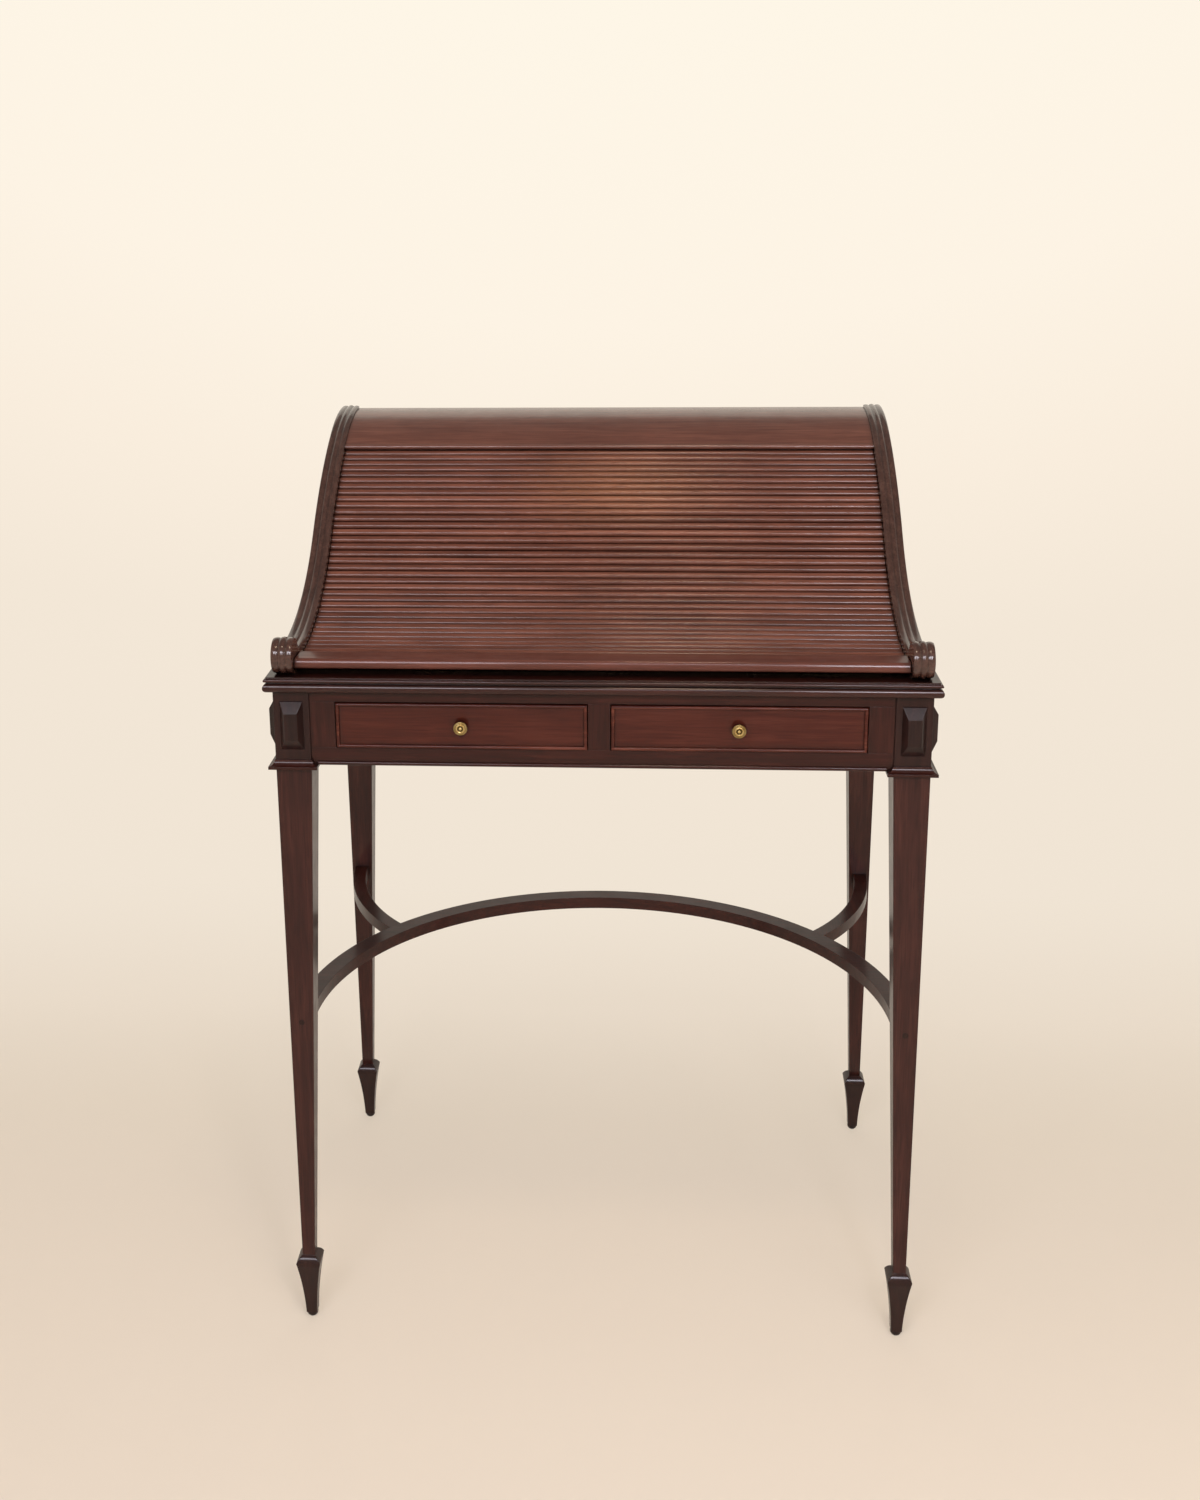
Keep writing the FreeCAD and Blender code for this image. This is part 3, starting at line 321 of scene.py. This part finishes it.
nodeFinish = {
    "stretcher_hoop": "case_x", "stretcher_stay_right": "case_y", "stretcher_stay_left": "case_y",
    "stretcher_plugs": "plug", "front_top_rail": "case_x", "front_bottom_rail": "case_x",
    "front_stiles": "case_z", "drawer_muntin": "case_z", "side_apron_right": "case_y",
    "side_apron_left": "case_y", "back_apron": "case_x", "apron_beads": "case_x",
    "leg_collars": "case_x", "leg_bosses": "block", "foot_glides": "block",
    "desktop": "desk", "writing_leather": "leather", "gable_right": "gable", "gable_left": "gable",
    "top_fascia": "fascia", "fascia_bead": "fascia", "tambour_lead_rail": "lead", "back_panel": "inside_z",
    "false_back": "inside_x", "pigeonhole_shelf": "inside_x", "pigeonhole_dividers": "inside_z",
    "drawer_runners": "oak_y", "drawer_kickers": "oak_y", "drawer_guides": "oak_y",
}
drawerFinish = {"front": "drawer", "cockbead": "bead", "sides": "oak_y", "back": "oak_x", "bottom": "oak_x",
                "knob": "brass"}


def finishOf(name):
    if name.startswith("tambour_strip"):
        return "slat"
    if name.startswith(("leg_front", "leg_back")):
        return "leg"
    if name.startswith(("drawer_left_", "drawer_right_")):
        return drawerFinish[name.rsplit("_", 1)[1]]
    return nodeFinish[name]


for name, node in nodes.items():
    node.data.materials.clear()
    node.data.materials.append(finishes[finishOf(name)])
print("finishes given to", len(nodes), "nodes")

sharpFrom = math.radians(40)  # edges that turn by more than this stay crisp


def tubeMesh(name, grids, finish, marks=None, flats=None):
    # grid[row, column] is a closed ring of points in each row; rows are joined by quads and both end rings
    # are capped. A grid whose signed volume comes out negative has its faces turned round.
    vertices, faces, start = [], [], 0
    for grid in grids:
        rows, cols = grid.shape[:2]
        row, here = np.meshgrid(np.arange(rows - 1) * cols, np.arange(cols), indexing="ij")
        following = (here + 1) % cols
        quads = [row + here, row + following, row + cols + following, row + cols + here]
        quads = np.stack(quads, -1).reshape(-1, 4)
        points = grid.reshape(-1, 3)
        p = points[quads] - points.mean(0)
        halves = np.cross(p[:, 1], p[:, 2]) + np.cross(p[:, 2], p[:, 3])
        ring = np.arange(cols)
        if np.einsum("ij,ij->", p[:, 0], halves) < 0:
            quads = quads[:, ::-1]
        else:
            ring = ring[::-1]
        ends = [ring, (rows - 1) * cols + ring[::-1]]
        faces += (quads + start).tolist() + [(end + start).tolist() for end in ends]
        vertices.append(points)
        start += rows * cols
    mesh = bpy.data.meshes.new(name)
    mesh.from_pydata(np.concatenate(vertices).tolist(), [], faces)
    mesh.polygons.foreach_set("use_smooth", np.array([len(face) == 4 for face in faces]))
    mesh.set_sharp_from_angle(angle=sharpFrom)
    if marks is not None:
        mark = mesh.attributes.new(marks[0], "FLOAT", "POINT")
        mark.data.foreach_set("value", marks[1].astype(np.float32))
    if flats is not None:
        corner = np.empty(len(mesh.loops), np.int32)
        mesh.loops.foreach_get("vertex_index", corner)
        mesh.uv_layers.new(name="threads").data.foreach_set("uv", flats[corner].astype(np.float32).ravel())
    mesh.materials.append(finishes[finish])
    mesh.validate()
    piece = bpy.data.objects.new(name, mesh)
    bpy.context.scene.collection.objects.link(piece)
    return piece


def tongueEnds(stations, half, tongue):
    # places along X with a step to a tongue at both ends, and which of them belong to the tongues
    x = np.concatenate([[-1, -1], np.linspace(-1, 1, stations), [1, 1]]) * half
    x[[0, -1]] += np.array([-1, 1]) * tongue
    isTongue = np.zeros((len(x), 1), bool)
    isTongue[[0, 1, -2, -1]] = True
    return x, isTongue


# Tambour: the closed curtain's line in side view, from the lead rail's nose: level, hollow, round; in mm
curtainSet = {
    "start": (-214.5, 768.5), "level": 32.0, "hollow": 268.5, "round": 437.5, "steep": math.radians(45.8),
    "lead": 29.0, "pitch": 9.597263, "perStrip": 3, "strips": 13, "gap": 0.4, "relief": 0.4,
    "half": 308.4, "deep": 6.2, "flank": 4.1, "arcPoints": 15, "stations": 21,
    "tongue": 5.0, "tongueTop": 2.2, "tongueDeep": 4.0, "tongueIn": 1.0,
    "cornerStrip": 6, "cornerTongue": 0.2,  # the strip that ends at the back corner has short tongues
    "canvas": 0.8, "canvasSink": 0.12, "glue": 0.02, "canvasPoints": 28, "canvasStations": 9,
    "unevenMm": 0.10, "leanDeg": 0.9, "wobble": 0.4, "toneSpread": 0.45, "seed": 11,
}


def curtainLine(c, s):
    # place on the line at a distance s: straight, then an arc turning up, then an arc turning back down
    bendEnd = c["level"] + c["hollow"] * c["steep"]
    up = np.clip((s - c["level"]) / c["hollow"], 0, c["steep"])
    back = c["steep"] - np.clip((s - bendEnd) / c["round"], 0, None)
    y = c["start"][0] + np.minimum(s, c["level"]) + c["hollow"] * np.sin(up)
    z = c["start"][1] + c["hollow"] * (1 - np.cos(up))
    y = y + c["round"] * (np.sin(c["steep"]) - np.sin(back))
    z = z + c["round"] * (np.cos(back) - np.cos(c["steep"]))
    return np.stack([y, z], -1)


def stripPlace(c, index):
    # a flat strip lies halfway between its chord and the curve
    width = c["perStrip"] * c["pitch"]
    middle = c["lead"] + width * (index + 0.5)
    low, mid, high = curtainLine(c, np.array([middle - width / 2, middle, middle + width / 2]))
    return (low + high + 2 * mid) / 4, math.atan2(*(high - low)[::-1])


def onStrip(c, index, x, s, n):
    # x along the slat, s up the curtain, n out of it
    (y0, z0), angle = stripPlace(c, index)
    x, s, n = np.broadcast_arrays(x, s, n)
    y = y0 + s * math.cos(angle) - n * math.sin(angle)
    z = z0 + s * math.sin(angle) + n * math.cos(angle)
    return np.stack([x, y, z], -1) * mm


def slatGrid(c, index, slot, rng):
    # section: a low arc from flank to flank, then leaning sides to a flat back; carried along X, shrunk to a
    # tongue at both ends. Each slat leans a little, and bows by one half wave and by three along its length.
    low = -c["perStrip"] * c["pitch"] / 2 + c["pitch"] * slot + c["gap"] / 2
    high = low + c["pitch"] - c["gap"]
    middle = (low + high) / 2
    chord = (high - low) / 2
    radius = (chord ** 2 + c["flank"] ** 2) / (2 * c["flank"])
    turn = np.linspace(-1, 1, c["arcPoints"]) * math.asin(chord / radius)
    s = np.concatenate([middle + radius * np.sin(turn), [high - c["relief"], low + c["relief"]]])
    n = np.concatenate([radius * np.cos(turn) - radius, [-c["deep"], -c["deep"]]])
    isFront = n > -c["deep"]
    lean = math.radians(rng.uniform(-c["leanDeg"], c["leanDeg"]))
    n = n + (s - middle) * math.tan(lean) * isFront
    short = index == c["cornerStrip"]
    x, isTongue = tongueEnds(c["stations"], c["half"], c["cornerTongue"] if short else c["tongue"])
    along = np.linspace(0, math.pi, len(x))
    bow = rng.uniform(-1, 1) * np.sin(along)
    bow = bow + rng.uniform(-c["wobble"], c["wobble"]) * np.sin(3 * along)
    nBody = n[None, :] + c["unevenMm"] * bow[:, None] * isFront
    sGrid = np.where(isTongue, np.clip(s, low + c["tongueIn"], high - c["tongueIn"]), s)
    nGrid = np.where(isTongue, np.clip(n, -c["tongueTop"] - c["tongueDeep"], -c["tongueTop"]), nBody)
    return onStrip(c, index, x[:, None], sGrid, nGrid)


def canvasGrid(c, index):
    # a thin sheet behind the slats that sinks a little between them
    width = c["perStrip"] * c["pitch"]
    half = width / 2 - c["gap"] / 2 - c["relief"]
    s = np.linspace(-half, half, c["canvasPoints"])
    sink = c["canvasSink"] * (1 - np.cos(2 * math.pi * (s + width / 2) / c["pitch"])) / 2
    ringS = np.concatenate([s, s[::-1]])
    front = -c["deep"] - c["glue"] * np.ones_like(s)
    ringN = np.concatenate([front, -c["deep"] - c["canvas"] + sink[::-1]])
    x = np.linspace(-c["half"], c["half"], c["canvasStations"])
    flats = np.stack(np.broadcast_arrays(x[:, None], ringS[None, :]), -1).reshape(-1, 2) * mm
    return onStrip(c, index, x[:, None], ringS[None, :], ringN[None, :]), flats


rng = np.random.default_rng(curtainSet["seed"])
for index in range(curtainSet["strips"]):
    label = "%02d" % (index + 1)
    grids = [slatGrid(curtainSet, index, slot, rng) for slot in range(curtainSet["perStrip"])]
    tones = [np.full(grid[..., 0].size, rng.normal(0, curtainSet["toneSpread"])) for grid in grids]
    slats = tubeMesh("slats_" + label, grids, "slat", marks=("slatTone", np.concatenate(tones)))
    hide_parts("tambour_strip_" + label)
    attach(slats, "tambour_" + label)
    grid, flats = canvasGrid(curtainSet, index)
    backing = tubeMesh("canvas_" + label, [grid], "canvas", flats=flats)
    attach(backing, "tambour_" + label)
print("tambour curtain:", curtainSet["strips"] * curtainSet["perStrip"], "slats on canvas")

# Lead rail: a bar along the curtain's lower edge with a thumb nose, a little proud of the slats; in mm
leadSet = {"back": 28.8, "top": 5.2, "under": -5.2, "ease": 1.2, "half": 308.4, "stations": 25,
           "nosePoints": 46, "noseTurns": (-10.0, 40.0), "noseRadii": (2.4, 9.0, 3.0),
           "tongue": 5.0, "tongueTop": -2.2, "tongueUnder": -5.2, "tongueFrom": 2.0, "tongueIn": 1.0}


def leadGrid(c, b):
    # section: a thumb nose, which is a small, a wide and a small arc run on end to end from below to above
    # (the steps of length radius times turn are added up), then level to a back with eased corners; carried
    # along X
    turn = np.radians(np.linspace(-90, 90, b["nosePoints"]))
    halfway = (turn[1:] + turn[:-1]) / 2
    low, high = np.radians(b["noseTurns"])
    first, wide, last = b["noseRadii"]
    step = np.select([halfway < low, halfway < high], [first, wide], last) * np.diff(turn)
    noseS = np.concatenate([[0], np.cumsum(step * np.sin(halfway))])
    noseN = np.concatenate([[0], np.cumsum(step * np.cos(halfway))])
    eased = b["back"] - b["ease"]
    s = np.concatenate([noseS - noseS.min(), [eased, b["back"], b["back"], eased]])
    n = np.concatenate([b["under"] + (b["top"] - b["under"]) * noseN / noseN[-1],
                        [b["top"], b["top"] - b["ease"], b["under"] + b["ease"], b["under"]]])
    x, isTongue = tongueEnds(b["stations"], b["half"], b["tongue"])
    sGrid = np.where(isTongue, np.clip(s, b["tongueFrom"], b["back"] - b["tongueIn"]), s)
    nGrid = np.where(isTongue, np.clip(n, b["tongueUnder"], b["tongueTop"]), n)
    y = c["start"][0] + sGrid
    z = c["start"][1] + nGrid
    return np.stack(np.broadcast_arrays(x[:, None], y, z), -1) * mm


leadBar = tubeMesh("lead_bar", [leadGrid(curtainSet, leadSet)], "lead")
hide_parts("tambour_lead_rail")
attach(leadBar, "tambour_lead")
print("lead rail set on the curtain")

# Knobs: a rose, a neck, and a head with a ring round a small button
knobSet = {
    # radius and distance out from the drawer, in mm
    "turning": [(0.05, 0.0), (4.5, 0.0), (4.6, 0.2), (4.6, 1.3), (4.3, 1.7), (3.2, 2.1), (2.7, 2.5),
                (2.6, 3.0), (2.8, 3.6), (3.6, 4.4), (4.8, 5.0), (6.0, 5.6), (6.9, 6.4), (7.2, 7.0),
                (7.2, 7.7), (6.95, 8.3), (6.4, 8.6), (5.6, 8.7), (5.0, 8.8), (4.7, 9.1), (4.4, 9.45),
                (3.9, 9.5), (3.4, 9.4), (3.0, 8.9), (2.6, 8.45), (2.1, 8.4), (1.7, 8.5), (1.45, 9.0),
                (1.1, 9.25), (0.6, 9.3), (0.05, 9.3)],
    "around": 64, "rounds": 2,
    # dirt by radius on the face, and by radius + behind on what lies nearer the drawer than faceFrom
    "faceFrom": 7.8, "behind": 20,
    "dirtAt": [0, 1.3, 1.8, 2.7, 3.2, 4.5, 4.9, 5.6, 7.0, 22, 27.4],
    "dirt": [0.0, 0.0, 0.9, 0.9, 0.0, 0.0, 0.60, 0.45, 0.50, 0.85, 0.7],
}


def cutCorners(points, rounds):
    # each corner is replaced by points a quarter and three quarters along its sides
    for _ in range(rounds):
        a, b = points[:-1], points[1:]
        cut = np.stack([0.75 * a + 0.25 * b, 0.25 * a + 0.75 * b], 1).reshape(-1, 2)
        points = np.concatenate([points[:1], cut, points[-1:]])
    return points


def turnedKnob(k, name, low, high):
    # the outline is turned about a line straight out of the drawer front
    outline = cutCorners(np.array(k["turning"]), k["rounds"]) * mm
    turn = np.linspace(0, 2 * math.pi, k["around"], endpoint=False)
    x = (low[0] + high[0]) / 2
    z = (low[2] + high[2]) / 2
    face = low[1] + outline[:, 1].max()
    r, out = outline[:, :1], outline[:, 1:]
    grid = np.stack([x + r * np.cos(turn), face - out + 0 * turn, z + r * np.sin(turn)], -1)
    reach = outline[:, 0] / mm + k["behind"] * (outline[:, 1] < k["faceFrom"] * mm)
    dirt = np.interp(reach, k["dirtAt"], k["dirt"])
    return tubeMesh(name, [grid], "brass", marks=("tarnish", np.repeat(dirt, k["around"])))


for side in ("left", "right"):
    node = "drawer_" + side + "_knob"
    knob = turnedKnob(knobSet, "brass_knob_" + side, *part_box(node))
    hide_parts(node)
    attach(knob, "drawer_" + side)
print("knobs turned")

# Legs: a square spade foot with a rounded shoulder, a taper on the two inner faces, and a plain block; in mm
legSet = {"outer": 332.0, "front": -217.5, "back": 195.5, "block": 37.0, "ankle": 13.8, "ankleAt": 77.0,
          "toe": 6.0, "toeAt": 6.0, "waist": 8.4, "lip": 13.3, "lipAt": 73.0, "shoulder": 8.0,
          "roundness": 0.4, "arris": 0.6, "footRows": 16, "shoulderRows": 10, "taperRows": 12, "seam": 0.1}


def squareCorners(arris):
    # the four corners' directions, and round each a small arc with a point of the flat on both sides
    quarter = np.radians([0, 0, 30, 60, 90, 90])
    corner = np.array([[1, 1], [-1, 1], [-1, -1], [1, -1]]).repeat(len(quarter), 0)
    turn = np.radians([0, 90, 180, 270]).repeat(len(quarter)) + np.tile(quarter, 4)
    flat = np.tile([-1, 0, 0, 0, 0, 1], 4)[:, None]
    out = np.stack([np.cos(turn), np.sin(turn)], -1)
    onward = np.stack([-np.sin(turn), np.cos(turn)], -1)
    return corner, arris * out + arris * flat * onward


def legGrid(c, side, outerY, inward, blockFrom, top):
    # half the width, going up: a parabola through toe, waist and lip, a shoulder between a bevel and a
    # quarter round, and a straight taper out to the block
    footZ = np.linspace(c["toeAt"], c["lipAt"], c["footRows"])
    heights = [c["toeAt"], (c["toeAt"] + c["lipAt"]) / 2, c["lipAt"]]
    foot = np.polyval(np.polyfit(heights, [c["toe"], c["waist"], c["lip"]], 2), footZ)
    way = np.linspace(0, 1, c["shoulderRows"])[1:]
    rise = (1 - c["roundness"]) * way + c["roundness"] * np.sin(way * math.pi / 2)
    draw = (1 - c["roundness"]) * (1 - way) + c["roundness"] * np.cos(way * math.pi / 2)
    taperZ = np.linspace(c["lipAt"] + c["shoulder"] + c["seam"], blockFrom, c["taperRows"])
    share = (taperZ - c["ankleAt"]) / (blockFrom - c["ankleAt"])
    taper = (c["ankle"] + (c["block"] - c["ankle"]) * share) / 2
    shoulder = taper[0] + (c["lip"] - taper[0]) * draw
    z = np.concatenate([footZ, c["lipAt"] + c["shoulder"] * rise, taperZ, [top]])
    half = np.concatenate([foot, shoulder, taper, [c["block"] / 2]])
    centre = np.where(z < taperZ[0], c["ankle"] / 2, half)
    corner, arc = squareCorners(c["arris"])
    ring = corner[None] * (half - c["arris"])[:, None, None] + arc[None]
    x = side * (c["outer"] - centre)[:, None] + ring[:, :, 0]
    y = outerY + (inward * centre)[:, None] + ring[:, :, 1]
    return np.stack(np.broadcast_arrays(x, y, z[:, None]), -1) * mm


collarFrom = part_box("leg_collars")[0][2] / mm
for across, side in (("right", 1), ("left", -1)):
    for end, inward in (("front", 1), ("back", -1)):
        node = "leg_" + end + "_" + across
        grid = legGrid(legSet, side, legSet[end], inward, collarFrom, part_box(node)[1][2] / mm)
        leg = tubeMesh("tapered_" + node, [grid], "leg")
        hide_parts(node)
        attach(leg, "carcass")
print("legs set on their spade feet")

# Studio: a pale paper bowl, floor to wall all round, in metres. Seen directly or in polish its far side is
# its own colour; the floor round the desk is lit as well and keeps the shadow.
bowlSet = {"hole": 0.02, "flat": 1.2, "radius": 1.2, "top": 2.5, "around": 96, "bendPoints": 24,
           "floor": "#e2d8ca", "roughness": 0.95, "specular": 0.1,
           "ownFrom": (-0.3, 0.9), "ownShare": (0.4, 1.0),  # share of its own colour, by the way along it
           # tone by the way along the paper, from under the desk (0) to its far end (1)
           "wayEnd": 4.0,
           "tones": [(0.0, "#dfd2c1"), (0.045, "#e2d5c3"), (0.12, "#ecdfce"), (0.235, "#f0e4d4"),
                     (0.50, "#f3e7d7"), (0.65, "#f9eddd"), (0.80, "#fdf3e4"), (1.0, "#fef6e7")]}


def paperBowl(s):
    # a flat disc, a quarter circle up, then an upright wall; turned about Z
    bend = np.linspace(0, math.pi / 2, s["bendPoints"])
    r = s["flat"] + s["radius"] * np.sin(bend)
    r = np.concatenate([[s["hole"]], r, [s["flat"] + s["radius"]]])[:, None]
    z = np.concatenate([[0.0], s["radius"] * (1 - np.cos(bend)), [s["top"]]])[:, None]
    turn = np.linspace(0, 2 * math.pi, s["around"], endpoint=False)
    points = np.stack(np.broadcast_arrays(r * np.cos(turn), r * np.sin(turn), z), -1)
    row, here = np.meshgrid(np.arange(len(r) - 1) * s["around"], np.arange(s["around"]), indexing="ij")
    following = (here + 1) % s["around"]
    above = row + s["around"]
    faces = np.stack([row + here, above + here, above + following, row + following], -1)
    faces = faces.reshape(-1, 4).tolist()
    mesh = bpy.data.meshes.new("paperBowl")
    mesh.from_pydata(points.reshape(-1, 3).tolist(), [], faces + [list(range(s["around"]))])
    mesh.polygons.foreach_set("use_smooth", np.ones(len(faces) + 1, bool))
    piece = bpy.data.objects.new("paperBowl", mesh)
    bpy.context.scene.collection.objects.link(piece)
    return piece


def paperMaterial(s):
    material, tree = newMaterial("backdrop_paper")
    place = addNode(tree, "ShaderNodeTexCoord").outputs["Object"]
    split = addNode(tree, "ShaderNodeSeparateXYZ", None, {"Vector": place})
    way = joinValues(tree, "ADD", split.outputs["Y"], split.outputs["Z"])
    own = mapSpan(tree, way, s["ownFrom"], s["ownShare"], "SMOOTHSTEP")
    wall = toneRamp(tree, mapSpan(tree, way, (0.0, s["wayEnd"]), (0.0, 1.0)), s["tones"])
    ray = addNode(tree, "ShaderNodeLightPath").outputs
    seen = joinValues(tree, "MAXIMUM", ray["Is Camera Ray"], ray["Is Glossy Ray"])
    seen = joinValues(tree, "MAXIMUM", seen, ray["Is Transmission Ray"])
    settings = {"Roughness": s["roughness"], "Specular IOR Level": s["specular"]}
    settings["Base Color"] = linearColour(s["floor"])
    lit = addNode(tree, "ShaderNodeBsdfPrincipled", settings).outputs["BSDF"]
    glow = addNode(tree, "ShaderNodeEmission", {"Strength": 1.0}, {"Color": wall}).outputs["Emission"]
    share = joinValues(tree, "MULTIPLY", seen, own)
    mixed = addNode(tree, "ShaderNodeMixShader", None, {0: share, 1: lit, 2: glow})
    addNode(tree, "ShaderNodeOutputMaterial", None, {"Surface": mixed.outputs["Shader"]})
    return material


bowlPiece = paperBowl(bowlSet)
bowlPiece.data.materials.append(paperMaterial(bowlSet))

# Lamps: place and aim in metres; the wide fills are not mirrored, so that they leave no veil on the polish
lampSet = {
    "leftLamp": {"place": (-0.6, -1.9, 1.7), "aim": (0.0, 0.0, 0.7), "size": (0.7, 0.4), "watts": 10.0,
                 "colour": "#f5f3ff", "mirrored": True},
    "rightLamp": {"place": (0.56, -1.95, 1.7), "aim": (0.0, 0.0, 0.7), "size": (0.26, 0.4), "watts": 9.0,
                  "colour": "#f5f3ff", "mirrored": True},
    "middleLamp": {"place": (0.12, -0.9, 2.6), "aim": (0.0, 0.0, 0.7), "size": (0.3, 0.25), "watts": 7.0,
                   "colour": "#ffe6c4", "mirrored": True},
    "stripLamp": {"place": (0.0, -1.9, 2.0), "aim": (0.0, 0.0, 0.7), "size": (2.6, 0.14), "watts": 18.0,
                  "colour": "#f8f5ff", "mirrored": True},
    "softFill": {"place": (0.0, -0.8, 3.1), "aim": (0.0, 0.0, 0.4), "size": (2.4, 2.4), "watts": 15.0,
                 "colour": "#fffaf4", "mirrored": False},
    "lowFill": {"place": (1.0, -1.4, 0.6), "aim": (0.1, 0.0, 0.3), "size": (0.8, 0.5), "watts": 5.0,
                "colour": "#fffaf4", "mirrored": False},
    "backFill": {"place": (0.0, 1.9, 2.0), "aim": (0.0, 0.1, 0.6), "size": (2.0, 1.0), "watts": 10.0,
                 "colour": "#fffaf4", "mirrored": False},
}
levelRight = (1, 0.001, 0)  # a lamp's long side lies level, a hair off X


def aimMatrix(place, forward, right):
    # camera and lamp axes: X right, Y up, Z back along the view
    f = np.asarray(forward, float) / np.linalg.norm(forward)
    r = np.asarray(right, float) - np.dot(right, f) * f
    r /= np.linalg.norm(r)
    m = np.eye(4)
    m[:3] = np.stack([r, np.cross(r, f), -f, place], -1)
    return Matrix(m.tolist())


for name, lamp in lampSet.items():
    light = bpy.data.lights.new(name, "AREA")
    light.shape = "RECTANGLE"
    light.size, light.size_y = lamp["size"]
    light.energy = lamp["watts"]
    light.color = linearColour(lamp["colour"])[:3]
    holder = bpy.data.objects.new(name, light)
    holder.visible_camera = False
    holder.visible_glossy = lamp["mirrored"]
    bpy.context.scene.collection.objects.link(holder)
    holder.matrix_world = aimMatrix(lamp["place"], np.subtract(lamp["aim"], lamp["place"]), levelRight)

roomSet = {"colour": "#fff6ea", "strength": 0.28}
world = bpy.data.worlds.new("studioRoom")
world.use_nodes = True
bpy.context.scene.world = world
world.node_tree.nodes.clear()
roomLight = addNode(world.node_tree, "ShaderNodeBackground",
                    {"Color": linearColour(roomSet["colour"]), "Strength": roomSet["strength"]})
addNode(world.node_tree, "ShaderNodeOutputWorld", None, {"Surface": roomLight.outputs["Background"]})

# Camera fitted to the photograph: place in metres, angles in radians, sensor in mm, the rest in its pixels
cameraSet = {"place": (0.04544, -1.78376, 1.25724), "pitch": 0.2477, "yaw": -0.0676, "roll": 0.0122,
             "focal": 1640.23, "centre": (537.31, 577.99), "frame": (1200, 1500), "sensor": 36.0}


def photoCamera(s):
    p, y, r = s["pitch"], s["yaw"], s["roll"]
    width, height = s["frame"]
    forward = np.array([math.sin(y) * math.cos(p), math.cos(y) * math.cos(p), -math.sin(p)])
    right = np.array([math.cos(y), -math.sin(y), 0.0])
    down = np.cross(forward, right)
    camera = bpy.data.cameras.new("photoCamera")
    camera.sensor_width = s["sensor"]
    camera.lens = s["focal"] * s["sensor"] / height
    camera.shift_x = (width / 2 - s["centre"][0]) / height
    camera.shift_y = (s["centre"][1] - height / 2) / height
    holder = bpy.data.objects.new("photoCamera", camera)
    bpy.context.scene.collection.objects.link(holder)
    holder.matrix_world = aimMatrix(s["place"], forward, math.cos(r) * right + math.sin(r) * down)
    bpy.context.scene.camera = holder


photoCamera(cameraSet)
bpy.context.scene.view_settings.view_transform = "Standard"
print("studio, lamps and camera set")
